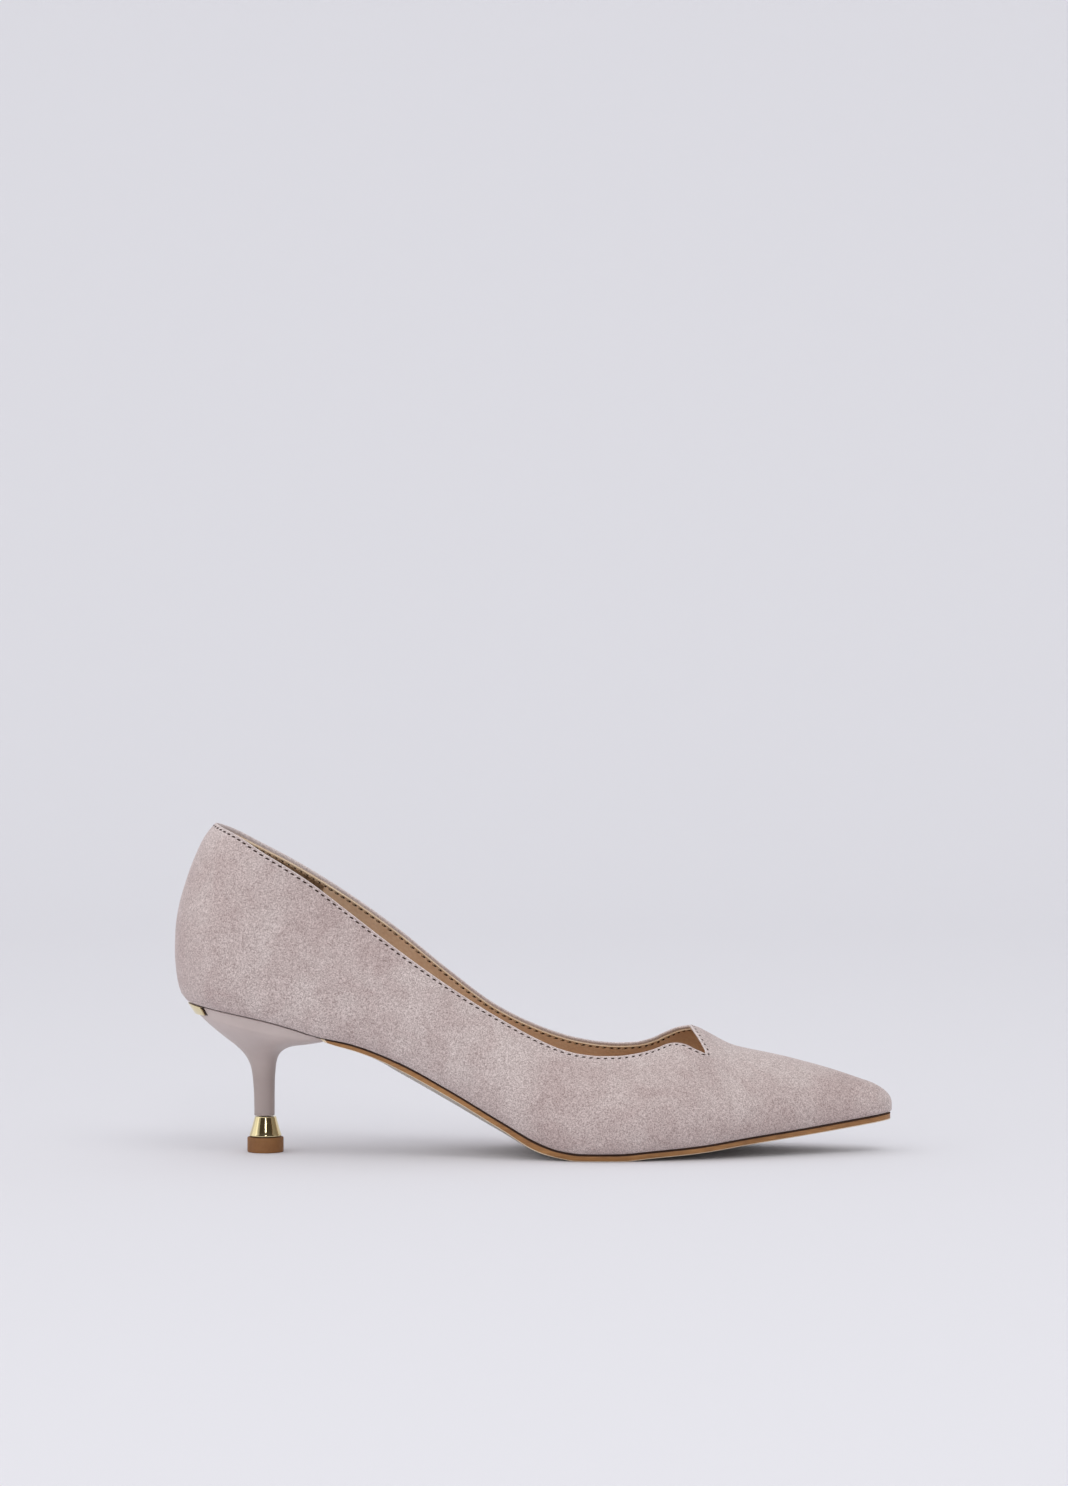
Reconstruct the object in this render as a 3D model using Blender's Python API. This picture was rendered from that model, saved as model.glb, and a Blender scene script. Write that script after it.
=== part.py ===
"""Kitten heel pump, the right shoe of a pair, empty and standing on its sole and heel tip.

+X runs to the toe, +Y to the inner side of the foot and +Z up. The origin lies on the floor
under the middle of the shoe. Every size and table below is in millimetres.
"""
import bmesh
import bpy
import numpy as np

MM = 0.001
GAP = 0.3                     # clearance between pieces that touch

# Length of the last's bottom edge, the feather edge
HEEL_BACK_X = -124.6          # back of the heel seat
HEEL_ARC_X = -96.0            # the round heel end joins the sides here
TOE_ARC_X = 122.0             # the sides join the round toe here
TOE_TIP_X = 129.1

# Walls and layers
UPPER_WALL = 1.6              # suede and lining together
TOE_WALL = 3.5                # stiffened toe end
MARGIN_THICK = 1.4            # edge of the upper, turned under the insole
MARGIN_WIDTH = 8.0
TOE_MARGIN_WIDTH = 5.0
MARGIN_TAPER_START_X = 60.0   # the margin narrows from here
MARGIN_TAPER_END_X = 118.0
INSOLE_THICK = 2.0
SOLE_EDGE_INSET = 0.5
SOLE_UNDERCUT = 0.6           # the sole's side leans in towards its tread

# Topline and its notch on the outer side of the vamp
NOTCH_START_X = 47.0          # the inner edge turns in over the vamp from here
NOTCH_TIP_X = 61.0

# Heel, collar and heel tip
HEEL_FRONT_X = -76.0
STEM_CENTRE_X = -96.95
TIP_CENTRE_X = -96.6
TOP_PIECE_RADIUS = 6.5
TOP_PIECE_HEIGHT = 5.4
COLLAR_HEIGHT = 7.1
COLLAR_BOTTOM_RADIUS = 5.8
COLLAR_TOP_RADIUS = 3.75
EDGE_ROUND = 0.35
PLATE_THICK = 0.9
PLATE_GAP = 0.36
PLATE_HALF_ANGLE = 36.0       # degrees each way from the middle of the back
PLATE_BOTTOM_Z = 49.9

# Feather edge seen from the side
FEATHER_COLUMNS = ("x", "z")
FEATHER = (
    (-124.6, 54.5),
    (-118.0, 53.2),
    (-96.0, 48.8),
    (-85.0, 45.7),
    (-77.0, 43.1),
    (-65.0, 40.5),
    (-47.5, 33.8),
    (-29.7, 24.2),
    (-12.0, 13.8),
    (2.0, 6.1),
    (9.0, 3.7),
    (17.0, 2.7),
    (29.0, 2.7),
    (41.0, 3.6),
    (58.5, 5.0),
    (76.5, 7.4),
    (95.0, 9.6),
    (113.0, 12.0),
    (129.1, 14.3),
)

# Tread of the outsole along its edge; flat on the floor under the ball of the foot
FLAT_START_X = 15.0
FLAT_END_X = 31.0
TREAD_COLUMNS = ("x", "z", "belly")
TREAD = (
    (-76.0, 41.1, 0.0),
    (-65.0, 38.3, 0.3),
    (-55.0, 34.7, 1.6),
    (-47.5, 31.1, 2.6),
    (-29.7, 21.4, 3.0),
    (-12.0, 10.8, 2.6),
    (2.0, 2.7, 1.4),
    (9.0, 0.9, 0.4),
    (FLAT_START_X, 0.0, 0.0),
    (FLAT_END_X, 0.0, 0.0),
    (41.0, 0.9, 0.0),
    (58.5, 2.3, 0.0),
    (76.5, 4.8, 0.0),
    (95.0, 7.2, 0.0),
    (113.0, 9.7, 0.0),
    (129.1, 12.1, 0.0),
)

# Plan of the feather edge: distance out from the middle plane on each side
PLAN_COLUMNS = ("x", "outer", "inner")
PLAN = (
    (-124.6, 23.4, 23.4),
    (-96.0, 24.0, 24.0),
    (-76.0, 23.8, 22.8),
    (-55.0, 23.6, 20.8),
    (-30.0, 25.2, 20.0),
    (-8.0, 29.0, 23.5),
    (10.0, 33.2, 29.8),
    (23.0, 34.85, 33.6),
    (36.0, 34.3, 35.2),
    (50.0, 31.6, 34.2),
    (61.0, 28.4, 31.8),
    (75.0, 23.2, 27.6),
    (90.0, 16.8, 22.6),
    (105.0, 10.3, 17.0),
    (117.0, 5.2, 12.9),
    (129.1, 0.6, 9.4),
)

# Sides of the last: how far they swell past the feather edge, and how high above it
SWELL_COLUMNS = ("x", "outer", "inner", "height")
SWELL = (
    (-124.6, 3.8, 3.8, 13.0),
    (-96.0, 3.8, 3.8, 13.0),
    (-60.0, 4.2, 5.2, 13.0),
    (-25.0, 4.4, 6.4, 12.0),
    (5.0, 3.8, 4.6, 10.0),
    (30.0, 3.6, 3.4, 9.0),
    (61.0, 3.4, 3.2, 7.6),
    (90.0, 2.2, 2.2, 5.4),
    (115.0, 1.2, 1.2, 3.2),
    (129.1, 0.5, 0.5, 1.8),
)

# Ridge of the last; behind the notch the ridge itself is cut away by the topline
RIDGE_COLUMNS = ("x", "z", "y", "flatness")
RIDGE = (
    (-124.6, 150.0, 0.0, 0.0),
    (-96.0, 131.0, 0.0, 0.0),
    (-67.0, 108.0, 1.0, 0.0),
    (-47.0, 93.0, 2.0, 0.01),
    (-30.0, 79.0, 3.0, 0.03),
    (-12.0, 65.5, 3.5, 0.05),
    (6.0, 56.0, 4.0, 0.07),
    (23.0, 50.5, 4.5, 0.085),
    (36.0, 47.6, 5.0, 0.09),
    (47.0, 45.9, 5.0, 0.09),
    (56.6, 45.2, 5.0, 0.085),
    (59.1, 44.5, 5.0, 0.085),
    (62.0, 43.1, 5.0, 0.085),
    (65.3, 41.3, 5.0, 0.08),
    (69.4, 39.1, 5.0, 0.08),
    (72.8, 37.8, 5.0, 0.075),
    (77.7, 36.7, 5.0, 0.07),
    (88.8, 34.4, 5.0, 0.05),
    (96.0, 32.6, 5.0, 0.04),
    (103.5, 30.6, 4.9, 0.03),
    (110.7, 28.4, 4.8, 0.02),
    (118.0, 25.9, 4.7, 0.0),
    (121.6, 24.7, 4.6, 0.0),
    (125.2, 22.8, 4.5, 0.0),
    (127.0, 21.4, 4.5, 0.0),
    (128.5, 19.5, 4.5, 0.0),
    (129.1, 17.8, 4.4, 0.0),
)

# Curve of the heel back: how far each height stands from the seat's back edge
BACK_COLUMNS = ("z", "x")
BACK_CURVE = (
    (54.5, -124.6),
    (58.0, -127.1),
    (64.5, -128.5),
    (72.0, -129.1),
    (80.0, -128.9),
    (88.4, -127.7),
    (97.0, -125.3),
    (105.6, -122.2),
    (114.3, -117.9),
    (118.6, -114.3),
)
BACK_FADE_END_X = -50.0       # forward of here the back curve no longer moves the wall
FLOOR_FADE_HEIGHT = 15.0      # the raised floor of the inside moves the back curve up to here
SWELL_SHARE = 0.2             # part of each side's rows below the widest line

# Topline of each side, seen from the side
TOPLINE_COLUMNS = ("x", "z")
OUTER_TOPLINE = (
    (-114.3, 118.6),
    (-104.6, 114.0),
    (-97.3, 109.3),
    (-88.9, 104.2),
    (-79.4, 98.0),
    (-65.0, 87.0),
    (-47.3, 73.4),
    (-29.7, 60.9),
    (-12.0, 49.7),
    (2.1, 42.1),
    (9.2, 39.1),
    (16.0, 37.3),
    (23.3, 36.5),
    (29.4, 36.4),
    (35.6, 37.0),
    (41.8, 38.2),
    (45.5, 39.4),
    (48.0, 40.2),
    (50.8, 40.4),
    (53.8, 39.9),
    (57.5, 38.2),
    (61.0, 36.7),
)
INNER_TOPLINE = (
    (-114.3, 118.6),
    (-110.0, 116.8),
    (-100.1, 111.4),
    (-85.6, 103.1),
    (-67.4, 91.7),
    (-49.1, 78.6),
    (-30.8, 63.9),
    (-12.5, 50.6),
    (2.2, 43.4),
    (9.5, 40.6),
    (17.0, 38.6),
    (24.2, 37.6),
    (30.4, 37.4),
    (36.7, 37.9),
    (43.0, 39.6),
    (47.0, 41.8),
)

# Inner edge where it turns in over the vamp and runs down to the tip of the notch, in plan
NOTCH_SEARCH = (0.88, 0.12)   # part of the section that the notch's edge can lie in
NOTCH_COLUMNS = ("x", "y")
NOTCH_EDGE = (
    (47.0, 17.9),
    (51.0, 13.2),
    (54.0, 10.4),
    (56.2, 8.6),
    (57.2, 4.0),
    (59.0, -5.0),
    (61.0, -12.8),
)

# Heel block, a row for each level from the stem up to the seat
# Columns: back x, back z, front x, front z, half width, squareness of the front
HEEL_LEVELS = (
    (-100.6, 13.1, -93.3, 13.1, 3.65, 2.0),
    (-100.7, 20.0, -93.3, 20.0, 3.7, 2.0),
    (-101.1, 26.0, -93.2, 26.0, 4.0, 2.0),
    (-101.7, 30.1, -92.95, 29.8, 4.6, 2.0),
    (-102.7, 32.9, -92.6, 32.4, 5.6, 2.0),
    (-104.2, 35.3, -92.0, 34.4, 7.2, 2.0),
    (-106.9, 38.1, -90.5, 36.3, 10.0, 2.1),
    (-110.7, 41.1, -88.3, 37.6, 13.4, 2.3),
    (-114.4, 44.1, -85.2, 38.5, 16.8, 2.6),
    (-117.8, 47.1, -81.0, 39.1, 19.8, 3.0),
    (-120.7, 50.0, -77.2, 39.8, 22.0, 3.6),
)
HEEL_TOP_BACK_X = -123.3
HEEL_TOP_HALF_WIDTH = 23.2
HEEL_TOP_SQUARENESS = 4.0
STEM_HALF_WIDTH = 4.0         # levels wider than this move towards the seat's centre

# Colours of the pieces, with roughness and metallic
FINISHES = {
    "mauve suede": ((0.49, 0.41, 0.405, 1.0), 0.95, 0.0),
    "tan leather": ((0.36, 0.22, 0.13, 1.0), 0.55, 0.0),
    "brown sole leather": ((0.27, 0.13, 0.055, 1.0), 0.5, 0.0),
    "mauve satin": ((0.43, 0.37, 0.36, 1.0), 0.35, 0.0),
    "pale gold": ((0.83, 0.72, 0.45, 1.0), 0.2, 1.0),
    "brown rubber": ((0.2, 0.09, 0.035, 1.0), 0.6, 0.0),
}

# Fineness of the meshes
HEEL_ARC_STEPS = 11
TOE_ARC_STEPS = 6
UPPER_ROWS = 12
SWELL_ROWS = 3
SECTION_SAMPLES = 160
TREAD_POINTS = 9
PLATE_STEPS = 16
TURNED_SIDES = 32
FIRST_SOLE_STATION = -70.0    # first place on the sole in front of the heel
STATIONS = (
    -89, -82, -75, -67, -59, -51, -43, -35, -27, -19, -11, -3, 4, 10, 16, 22, 28, 34, 39, 43.5,
    47, 50, 52.5, 54.5, 56.2, 57.2, 58.4, 59.7, 61, 63.5, 67, 71, 75.5, 81, 87, 93, 99, 105,
    110.5, 115, 119,
)


def smooth_curve(xs, ys, x):
    """Read a curve through the points that never overshoots between two of them."""
    xs, ys, x = np.asarray(xs, float), np.asarray(ys, float), np.asarray(x, float)
    run = np.diff(xs)
    rise = np.diff(ys) / run
    slope = np.zeros(len(xs))
    slope[0], slope[-1] = rise[0], rise[-1]
    for k in range(1, len(xs) - 1):
        if rise[k - 1] * rise[k] > 0.0:
            before, after = 2 * run[k] + run[k - 1], run[k] + 2 * run[k - 1]
            slope[k] = (before + after) / (before / rise[k - 1] + after / rise[k])
    x = np.clip(x, xs[0], xs[-1])
    k = np.clip(np.searchsorted(xs, x) - 1, 0, len(run) - 1)
    t = (x - xs[k]) / run[k]
    start = (1 + 2 * t) * (1 - t) ** 2 * ys[k] + t * (1 - t) ** 2 * run[k] * slope[k]
    end = t * t * (3 - 2 * t) * ys[k + 1] + t * t * (t - 1) * run[k] * slope[k + 1]
    return start + end


def read(table, columns, name, x):
    """Value of a named column at x, which the table's first column holds."""
    rows = np.array(table)
    return smooth_curve(rows[:, 0], rows[:, columns.index(name)], x)


def feather_z(x):
    return read(FEATHER, FEATHER_COLUMNS, "z", x)


def place(s, back_inset=0.0, toe_inset=0.0):
    """X and end-rounding factor of a station.

    s runs from -1 at the back to 0 where the round heel ends, on to 1 where the round toe
    starts, and to 2 at the tip.
    """
    if s < 0.0:
        angle = (1.0 + s) * np.pi / 2
        reach = HEEL_ARC_X - HEEL_BACK_X - back_inset
        return HEEL_ARC_X - reach * np.cos(angle), np.sin(angle)
    if s > 1.0:
        angle = (s - 1.0) * np.pi / 2
        reach = TOE_TIP_X - TOE_ARC_X - toe_inset
        return TOE_ARC_X + reach * np.sin(angle), max(np.cos(angle), 0.0)
    return HEEL_ARC_X + s * (TOE_ARC_X - HEEL_ARC_X), 1.0


def station(x):
    """Station of a place on the straight part of the last."""
    return (x - HEEL_ARC_X) / (TOE_ARC_X - HEEL_ARC_X)


def last_section(s, q, wall=0.0, floor=0.0):
    """Points across the last at station s, as rows of x, y, z.

    q runs from 0 at the outer feather edge over the ridge at 0.5 to 1 at the inner one. The
    surface lies wall inside the upper's outside, and its bottom edge floor above the feather.
    """
    q = np.atleast_1d(np.asarray(q, float))
    toe_wall = wall * TOE_WALL / UPPER_WALL
    x0, rounding = place(s, wall, toe_wall)
    inner = q > 0.5
    climb = np.where(inner, 2 - 2 * q, 2 * q)
    side_names = ("outer", "inner")
    edge = [read(PLAN, PLAN_COLUMNS, name, x0) - wall for name in side_names]
    swell = [read(SWELL, SWELL_COLUMNS, name, x0) for name in side_names]
    edge = np.where(inner, edge[1], edge[0])
    swell = np.where(inner, swell[1], swell[0])
    side = np.where(inner, 1.0, -1.0)
    low = feather_z(x0) + floor
    wide = feather_z(x0) + read(SWELL, SWELL_COLUMNS, "height", x0)
    ridge_z = read(RIDGE, RIDGE_COLUMNS, "z", x0) - wall
    ridge_y = read(RIDGE, RIDGE_COLUMNS, "y", x0)
    flatness = read(RIDGE, RIDGE_COLUMNS, "flatness", x0)
    below = climb < SWELL_SHARE
    above_turn = (climb - SWELL_SHARE) / (1 - SWELL_SHARE)
    turn = np.pi / 2 * np.where(below, climb / SWELL_SHARE, above_turn)
    pull = 1 - flatness * np.sin(2 * turn) ** 2
    reach = edge + swell - side * ridge_y
    y = np.where(
        below,
        side * (edge + swell * np.sin(turn)),
        ridge_y + side * reach * np.cos(turn) * pull,
    )
    z = np.where(
        below,
        low + (wide - low) * (1 - np.cos(turn)),
        wide + (ridge_z - wide) * np.sin(turn) * pull,
    )
    middle = (read(PLAN, PLAN_COLUMNS, "inner", x0) - read(PLAN, PLAN_COLUMNS, "outer", x0)) / 2
    y = middle + (y - middle) * rounding
    floor_share = np.clip(1 - (z - low) / FLOOR_FADE_HEIGHT, 0.0, 1.0)
    height = z + FEATHER[0][1] - feather_z(x0) - floor * floor_share
    fade = np.clip((BACK_FADE_END_X - x0) / (BACK_FADE_END_X - HEEL_ARC_X), 0.0, 1.0)
    fade = fade * fade * (3 - 2 * fade)
    x = x0 + fade * (read(BACK_CURVE, BACK_COLUMNS, "x", height) - HEEL_BACK_X)
    return np.stack([x + 0 * y, y, z], axis=1)


def crossing(q, value):
    """First q at which value turns from negative to positive."""
    after = int(np.argmax(value > 0.0))
    share = value[after - 1] / (value[after - 1] - value[after])
    return q[after - 1] + share * (q[after] - q[after - 1])


def notch_tip_q():
    """Where the tip of the notch lies across its section."""
    q = np.linspace(0.0, 0.5, SECTION_SAMPLES)
    rows = last_section(station(NOTCH_TIP_X), q)
    return crossing(q, rows[:, 2] - OUTER_TOPLINE[-1][1])


def upper_edge_q(s, side):
    """Where the upper ends across its section: at the topline, or at the seam in front of it."""
    x0 = place(s)[0]
    if x0 > NOTCH_TIP_X - 0.001:
        to_toe = (TOE_TIP_X - x0) / (TOE_TIP_X - NOTCH_TIP_X)
        return 0.5 - (0.5 - notch_tip_q()) * to_toe
    if side == "outer":
        q = np.linspace(0.0, 0.5, SECTION_SAMPLES)
        table = OUTER_TOPLINE
    else:
        q = np.linspace(1.0, 0.5, SECTION_SAMPLES)
        table = INNER_TOPLINE
    rows = last_section(s, q)
    if side == "inner" and x0 > NOTCH_START_X:
        q = np.linspace(*NOTCH_SEARCH, 2 * SECTION_SAMPLES)
        rows = last_section(s, q)
        return crossing(q, read(NOTCH_EDGE, NOTCH_COLUMNS, "y", x0) - rows[:, 1])
    return crossing(q, rows[:, 2] - read(table, TOPLINE_COLUMNS, "z", rows[:, 0]))


def spread_rows(s, side):
    """q of the upper's rows: a few up the swell, then evenly over the surface to the edge."""
    start = 0.0 if side == "outer" else 1.0
    swell_end = start + (0.5 - start) * SWELL_SHARE
    low = np.linspace(start, swell_end, SWELL_ROWS + 1)
    q = np.linspace(swell_end, upper_edge_q(s, side), SECTION_SAMPLES)
    steps = np.linalg.norm(np.diff(last_section(s, q), axis=0), axis=1)
    length = np.concatenate([[0.0], np.cumsum(steps)])
    shares = np.linspace(0.0, 1.0, UPPER_ROWS - SWELL_ROWS + 1)[1:]
    return np.concatenate([low, np.interp(shares * length[-1], length, q)])


def upper_stations():
    heel = np.linspace(-1.0, 0.0, HEEL_ARC_STEPS + 1)
    middle = [station(x) for x in STATIONS]
    toe = np.linspace(1.0, 2.0, TOE_ARC_STEPS + 1)
    return np.concatenate([heel, middle, toe])


def margin_point(s, side, z_shift):
    """Inner edge of the margin that is turned under the insole."""
    taper = [MARGIN_TAPER_START_X, MARGIN_TAPER_END_X]
    width = np.interp(place(s)[0], taper, [MARGIN_WIDTH, TOE_MARGIN_WIDTH])
    x0, rounding = place(s, width, width)
    sign = -1.0 if side == "outer" else 1.0
    edge = read(PLAN, PLAN_COLUMNS, side, x0) - width
    middle = (read(PLAN, PLAN_COLUMNS, "inner", x0) - read(PLAN, PLAN_COLUMNS, "outer", x0)) / 2
    y = middle + (sign * edge - middle) * rounding
    return (x0, y, feather_z(x0) + z_shift)


def section_loop(s, side):
    """One side of the upper cut across: margin, outside, topline, inside and margin again."""
    q = spread_rows(s, side)
    outside = last_section(s, q)
    inside = last_section(s, q, UPPER_WALL, MARGIN_THICK)[::-1]
    ring = [margin_point(s, side, 0.0), *outside, *inside, margin_point(s, side, MARGIN_THICK)]
    return [tuple(float(value) for value in point) for point in ring]


class Shell:
    """Collects corners by place, so that pieces of surface that meet share them."""

    def __init__(self):
        self.corners = []
        self.faces = []
        self.index = {}

    def corner(self, point):
        key = tuple(round(value, 4) for value in point)
        if key not in self.index:
            self.index[key] = len(self.corners)
            self.corners.append(tuple(value * MM for value in point))
        return self.index[key]

    def face(self, *points):
        ring = []
        for point in points:
            number = self.corner(point)
            if number not in ring:
                ring.append(number)
        if len(ring) > 2:
            self.faces.append(ring)

    def band(self, first, second, closed=False):
        """Faces between two rows of points."""
        count = len(first)
        for k in range(count if closed else count - 1):
            after = (k + 1) % count
            self.face(first[k], first[after], second[after], second[k])


def finish_material(name):
    material = bpy.data.materials.get(name)
    if material:
        return material
    colour, roughness, metallic = FINISHES[name]
    material = bpy.data.materials.new(name)
    material.use_nodes = True
    shader = material.node_tree.nodes["Principled BSDF"]
    shader.inputs["Base Color"].default_value = colour
    shader.inputs["Roughness"].default_value = roughness
    shader.inputs["Metallic"].default_value = metallic
    return material


def add_piece(name, shell, finish, sharp_angle=35.0):
    """Turn the collected faces into a closed mesh object with its faces pointing out."""
    mesh = bpy.data.meshes.new(name)
    mesh.from_pydata(shell.corners, [], shell.faces)
    solid = bmesh.new()
    solid.from_mesh(mesh)
    bmesh.ops.triangulate(solid, faces=solid.faces)
    bmesh.ops.recalc_face_normals(solid, faces=solid.faces)
    if solid.calc_volume(signed=True) < 0.0:
        bmesh.ops.reverse_faces(solid, faces=solid.faces)
    solid.to_mesh(mesh)
    solid.free()
    mesh.shade_smooth()
    mesh.set_sharp_from_angle(angle=np.radians(sharp_angle))
    mesh.materials.append(finish_material(finish))
    piece = bpy.data.objects.new(name, mesh)
    bpy.context.scene.collection.objects.link(piece)
    return piece


def build_upper():
    """Hollow upper: open at the topline and underneath, closed over the toe."""
    shell = Shell()
    rim = (UPPER_ROWS + 1, UPPER_ROWS + 2)
    stations = upper_stations()
    for side in ("outer", "inner"):
        loops = [section_loop(s, side) for s in stations]
        for k in range(len(loops) - 1):
            in_front_of_notch = place(stations[k])[0] > NOTCH_TIP_X - 0.001
            count = len(loops[k])
            for row in range(count):
                after = (row + 1) % count
                if in_front_of_notch and (row, after) == rim:
                    continue
                shell.face(loops[k][row], loops[k][after], loops[k + 1][after], loops[k + 1][row])
    return add_piece("upper", shell, "mauve suede")


def build_insole():
    """Board and sock that lie on the turned margin, between the walls."""
    shell = Shell()
    wall, floor = UPPER_WALL + GAP, MARGIN_THICK + GAP
    rows = []
    for s in upper_stations():
        edges = []
        for side in ("outer", "inner"):
            points = last_section(s, spread_rows(s, side), wall, floor)
            z = points[0][2] + INSOLE_THICK * np.array([0.0, 0.5, 1.0])
            x, y = (np.interp(z, points[:, 2], points[:, axis]) for axis in (0, 1))
            edges.append(np.stack([x, y, z], axis=1))
        outer, inner = edges
        ring = [*outer, (outer[2] + inner[2]) / 2, *inner[::-1], (outer[0] + inner[0]) / 2]
        rows.append([tuple(float(value) for value in point) for point in ring])
    for first, second in zip(rows, rows[1:]):
        shell.band(first, second, closed=True)
    return add_piece("insole", shell, "tan leather")


def sole_ring(s):
    """The outsole cut across: flat top, leaning sides and a tread that swells in the waist."""
    x0, rounding = place(s, SOLE_EDGE_INSET, SOLE_EDGE_INSET)
    outer = read(PLAN, PLAN_COLUMNS, "outer", x0) - SOLE_EDGE_INSET
    inner = read(PLAN, PLAN_COLUMNS, "inner", x0) - SOLE_EDGE_INSET
    middle, half = (inner - outer) / 2, (inner + outer) / 2 * rounding
    belly = read(TREAD, TREAD_COLUMNS, "belly", x0)
    edge_z = read(TREAD, TREAD_COLUMNS, "z", x0)
    top_z = feather_z(x0) - GAP
    tread_half = max(half - SOLE_UNDERCUT, 0.0)
    ring = [(x0, middle - half, top_z)]
    for share in np.linspace(-1.0, 1.0, TREAD_POINTS):
        ring.append((x0, middle + share * tread_half, edge_z - belly * (1 - share * share)))
    ring.append((x0, middle + half, top_z))
    ring.append((x0, middle, top_z))
    return [tuple(float(value) for value in point) for point in ring]


def build_outsole():
    """Sole from the heel breast to the toe, flat on the floor under the ball of the foot."""
    shell = Shell()
    places = [HEEL_FRONT_X + GAP, FIRST_SOLE_STATION, FLAT_START_X, FLAT_END_X]
    places += [x for x in STATIONS if x > FIRST_SOLE_STATION]
    stations = [station(x) for x in sorted(places)]
    stations += list(np.linspace(1.0, 2.0, TOE_ARC_STEPS + 1))
    rings = [sole_ring(s) for s in stations]
    for first, second in zip(rings, rings[1:]):
        shell.band(first, second, closed=True)
    shell.face(*rings[0])
    return add_piece("outsole", shell, "brown sole leather")


def heel_ring(level):
    """Points round the heel at one level, from the front over the outer side to the back."""
    back_x, back_z, front_x, front_z, half_width, squareness = level
    widths = [STEM_HALF_WIDTH, HEEL_TOP_HALF_WIDTH]
    centre_x = np.interp(half_width, widths, [STEM_CENTRE_X, HEEL_ARC_X])
    ring = []
    for k in range(TURNED_SIDES):
        angle = 2 * np.pi * k / TURNED_SIDES
        power = 2 / squareness if np.cos(angle) > 0.0 else 1.0
        along = np.sign(np.cos(angle)) * abs(np.cos(angle)) ** power
        across = np.sign(np.sin(angle)) * abs(np.sin(angle)) ** power
        reach = front_x - centre_x if along > 0 else centre_x - back_x
        x = centre_x + reach * along
        share = (x - back_x) / (front_x - back_x)
        ring.append((x, -half_width * across, back_z + share * (front_z - back_z)))
    return ring


def heel_top_ring():
    seat = (HEEL_TOP_BACK_X, 0.0, HEEL_FRONT_X, 0.0, HEEL_TOP_HALF_WIDTH, HEEL_TOP_SQUARENESS)
    return [(x, y, float(feather_z(x)) - GAP) for x, y, _ in heel_ring(seat)]


def build_heel():
    """Slim stem that flares into the seat."""
    shell = Shell()
    rings = [heel_ring(level) for level in HEEL_LEVELS] + [heel_top_ring()]
    for first, second in zip(rings, rings[1:]):
        shell.band(first, second, closed=True)
    shell.face(*rings[0])
    top = rings[-1]
    half = TURNED_SIDES // 2
    for k in range(half):
        shell.face(top[k], top[k + 1], top[-k - 1], top[-k % TURNED_SIDES])
    return add_piece("heel", shell, "mauve satin")


def plate_point(angle, drop, offset):
    """Point at an angle round the back of the heel, drop below its top, offset outwards."""
    back_x, back_z, front_x, front_z, half_width, _ = HEEL_LEVELS[-1]
    reach_top, reach_low = HEEL_ARC_X - HEEL_TOP_BACK_X, HEEL_ARC_X - back_x
    top_x = HEEL_ARC_X - reach_top * np.cos(angle)
    low_x = HEEL_ARC_X - reach_low * np.cos(angle)
    top_z = float(feather_z(top_x)) - GAP
    low_z = back_z + (low_x - back_x) / (front_x - back_x) * (front_z - back_z)
    share = drop / (top_z - low_z)
    reach = reach_top + (reach_low - reach_top) * share
    wide = HEEL_TOP_HALF_WIDTH + (half_width - HEEL_TOP_HALF_WIDTH) * share
    normal = np.array([-np.cos(angle) / reach, -np.sin(angle) / wide])
    normal = normal / np.linalg.norm(normal) * offset
    x = HEEL_ARC_X - reach * np.cos(angle) + normal[0]
    y = -wide * np.sin(angle) + normal[1]
    return (x, y, top_z - drop)


def build_back_plate():
    """Thin metal plate that wraps the back of the heel under the upper."""
    shell = Shell()
    edge = np.radians(PLATE_HALF_ANGLE)
    rings = []
    for angle in np.linspace(-edge, edge, PLATE_STEPS + 1):
        drop = plate_point(angle, 0.0, PLATE_GAP)[2] - PLATE_BOTTOM_Z
        near = [plate_point(angle, fall, PLATE_GAP) for fall in (0.0, drop)]
        far = [plate_point(angle, fall, PLATE_GAP + PLATE_THICK) for fall in (drop, 0.0)]
        rings.append(near + far)
    for first, second in zip(rings, rings[1:]):
        shell.band(first, second, closed=True)
    shell.face(*rings[0])
    shell.face(*rings[-1])
    return add_piece("back_plate", shell, "pale gold")


def build_turned(name, profile, finish):
    """Round piece under the stem, from a profile of radius and height, bottom first."""
    shell = Shell()
    rings = []
    for radius, z in profile:
        angles = [2 * np.pi * k / TURNED_SIDES for k in range(TURNED_SIDES)]
        rings.append([(TIP_CENTRE_X + radius * np.cos(a), radius * np.sin(a), z) for a in angles])
    for first, second in zip(rings, rings[1:]):
        shell.band(first, second, closed=True)
    shell.face(*rings[0])
    shell.face(*rings[-1])
    return add_piece(name, shell, finish)


def build_heel_collar():
    """Metal cone between the stem and the heel tip."""
    low = TOP_PIECE_HEIGHT + GAP
    high = low + COLLAR_HEIGHT
    profile = (
        (COLLAR_BOTTOM_RADIUS - EDGE_ROUND, low),
        (COLLAR_BOTTOM_RADIUS, low + EDGE_ROUND),
        (COLLAR_TOP_RADIUS, high),
    )
    return build_turned("heel_collar", profile, "pale gold")


def build_top_piece():
    """Round walking piece at the end of the heel."""
    profile = (
        (TOP_PIECE_RADIUS - EDGE_ROUND, 0.0),
        (TOP_PIECE_RADIUS, EDGE_ROUND),
        (TOP_PIECE_RADIUS, TOP_PIECE_HEIGHT - EDGE_ROUND),
        (TOP_PIECE_RADIUS - EDGE_ROUND, TOP_PIECE_HEIGHT),
    )
    return build_turned("top_piece", profile, "brown rubber")


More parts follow.
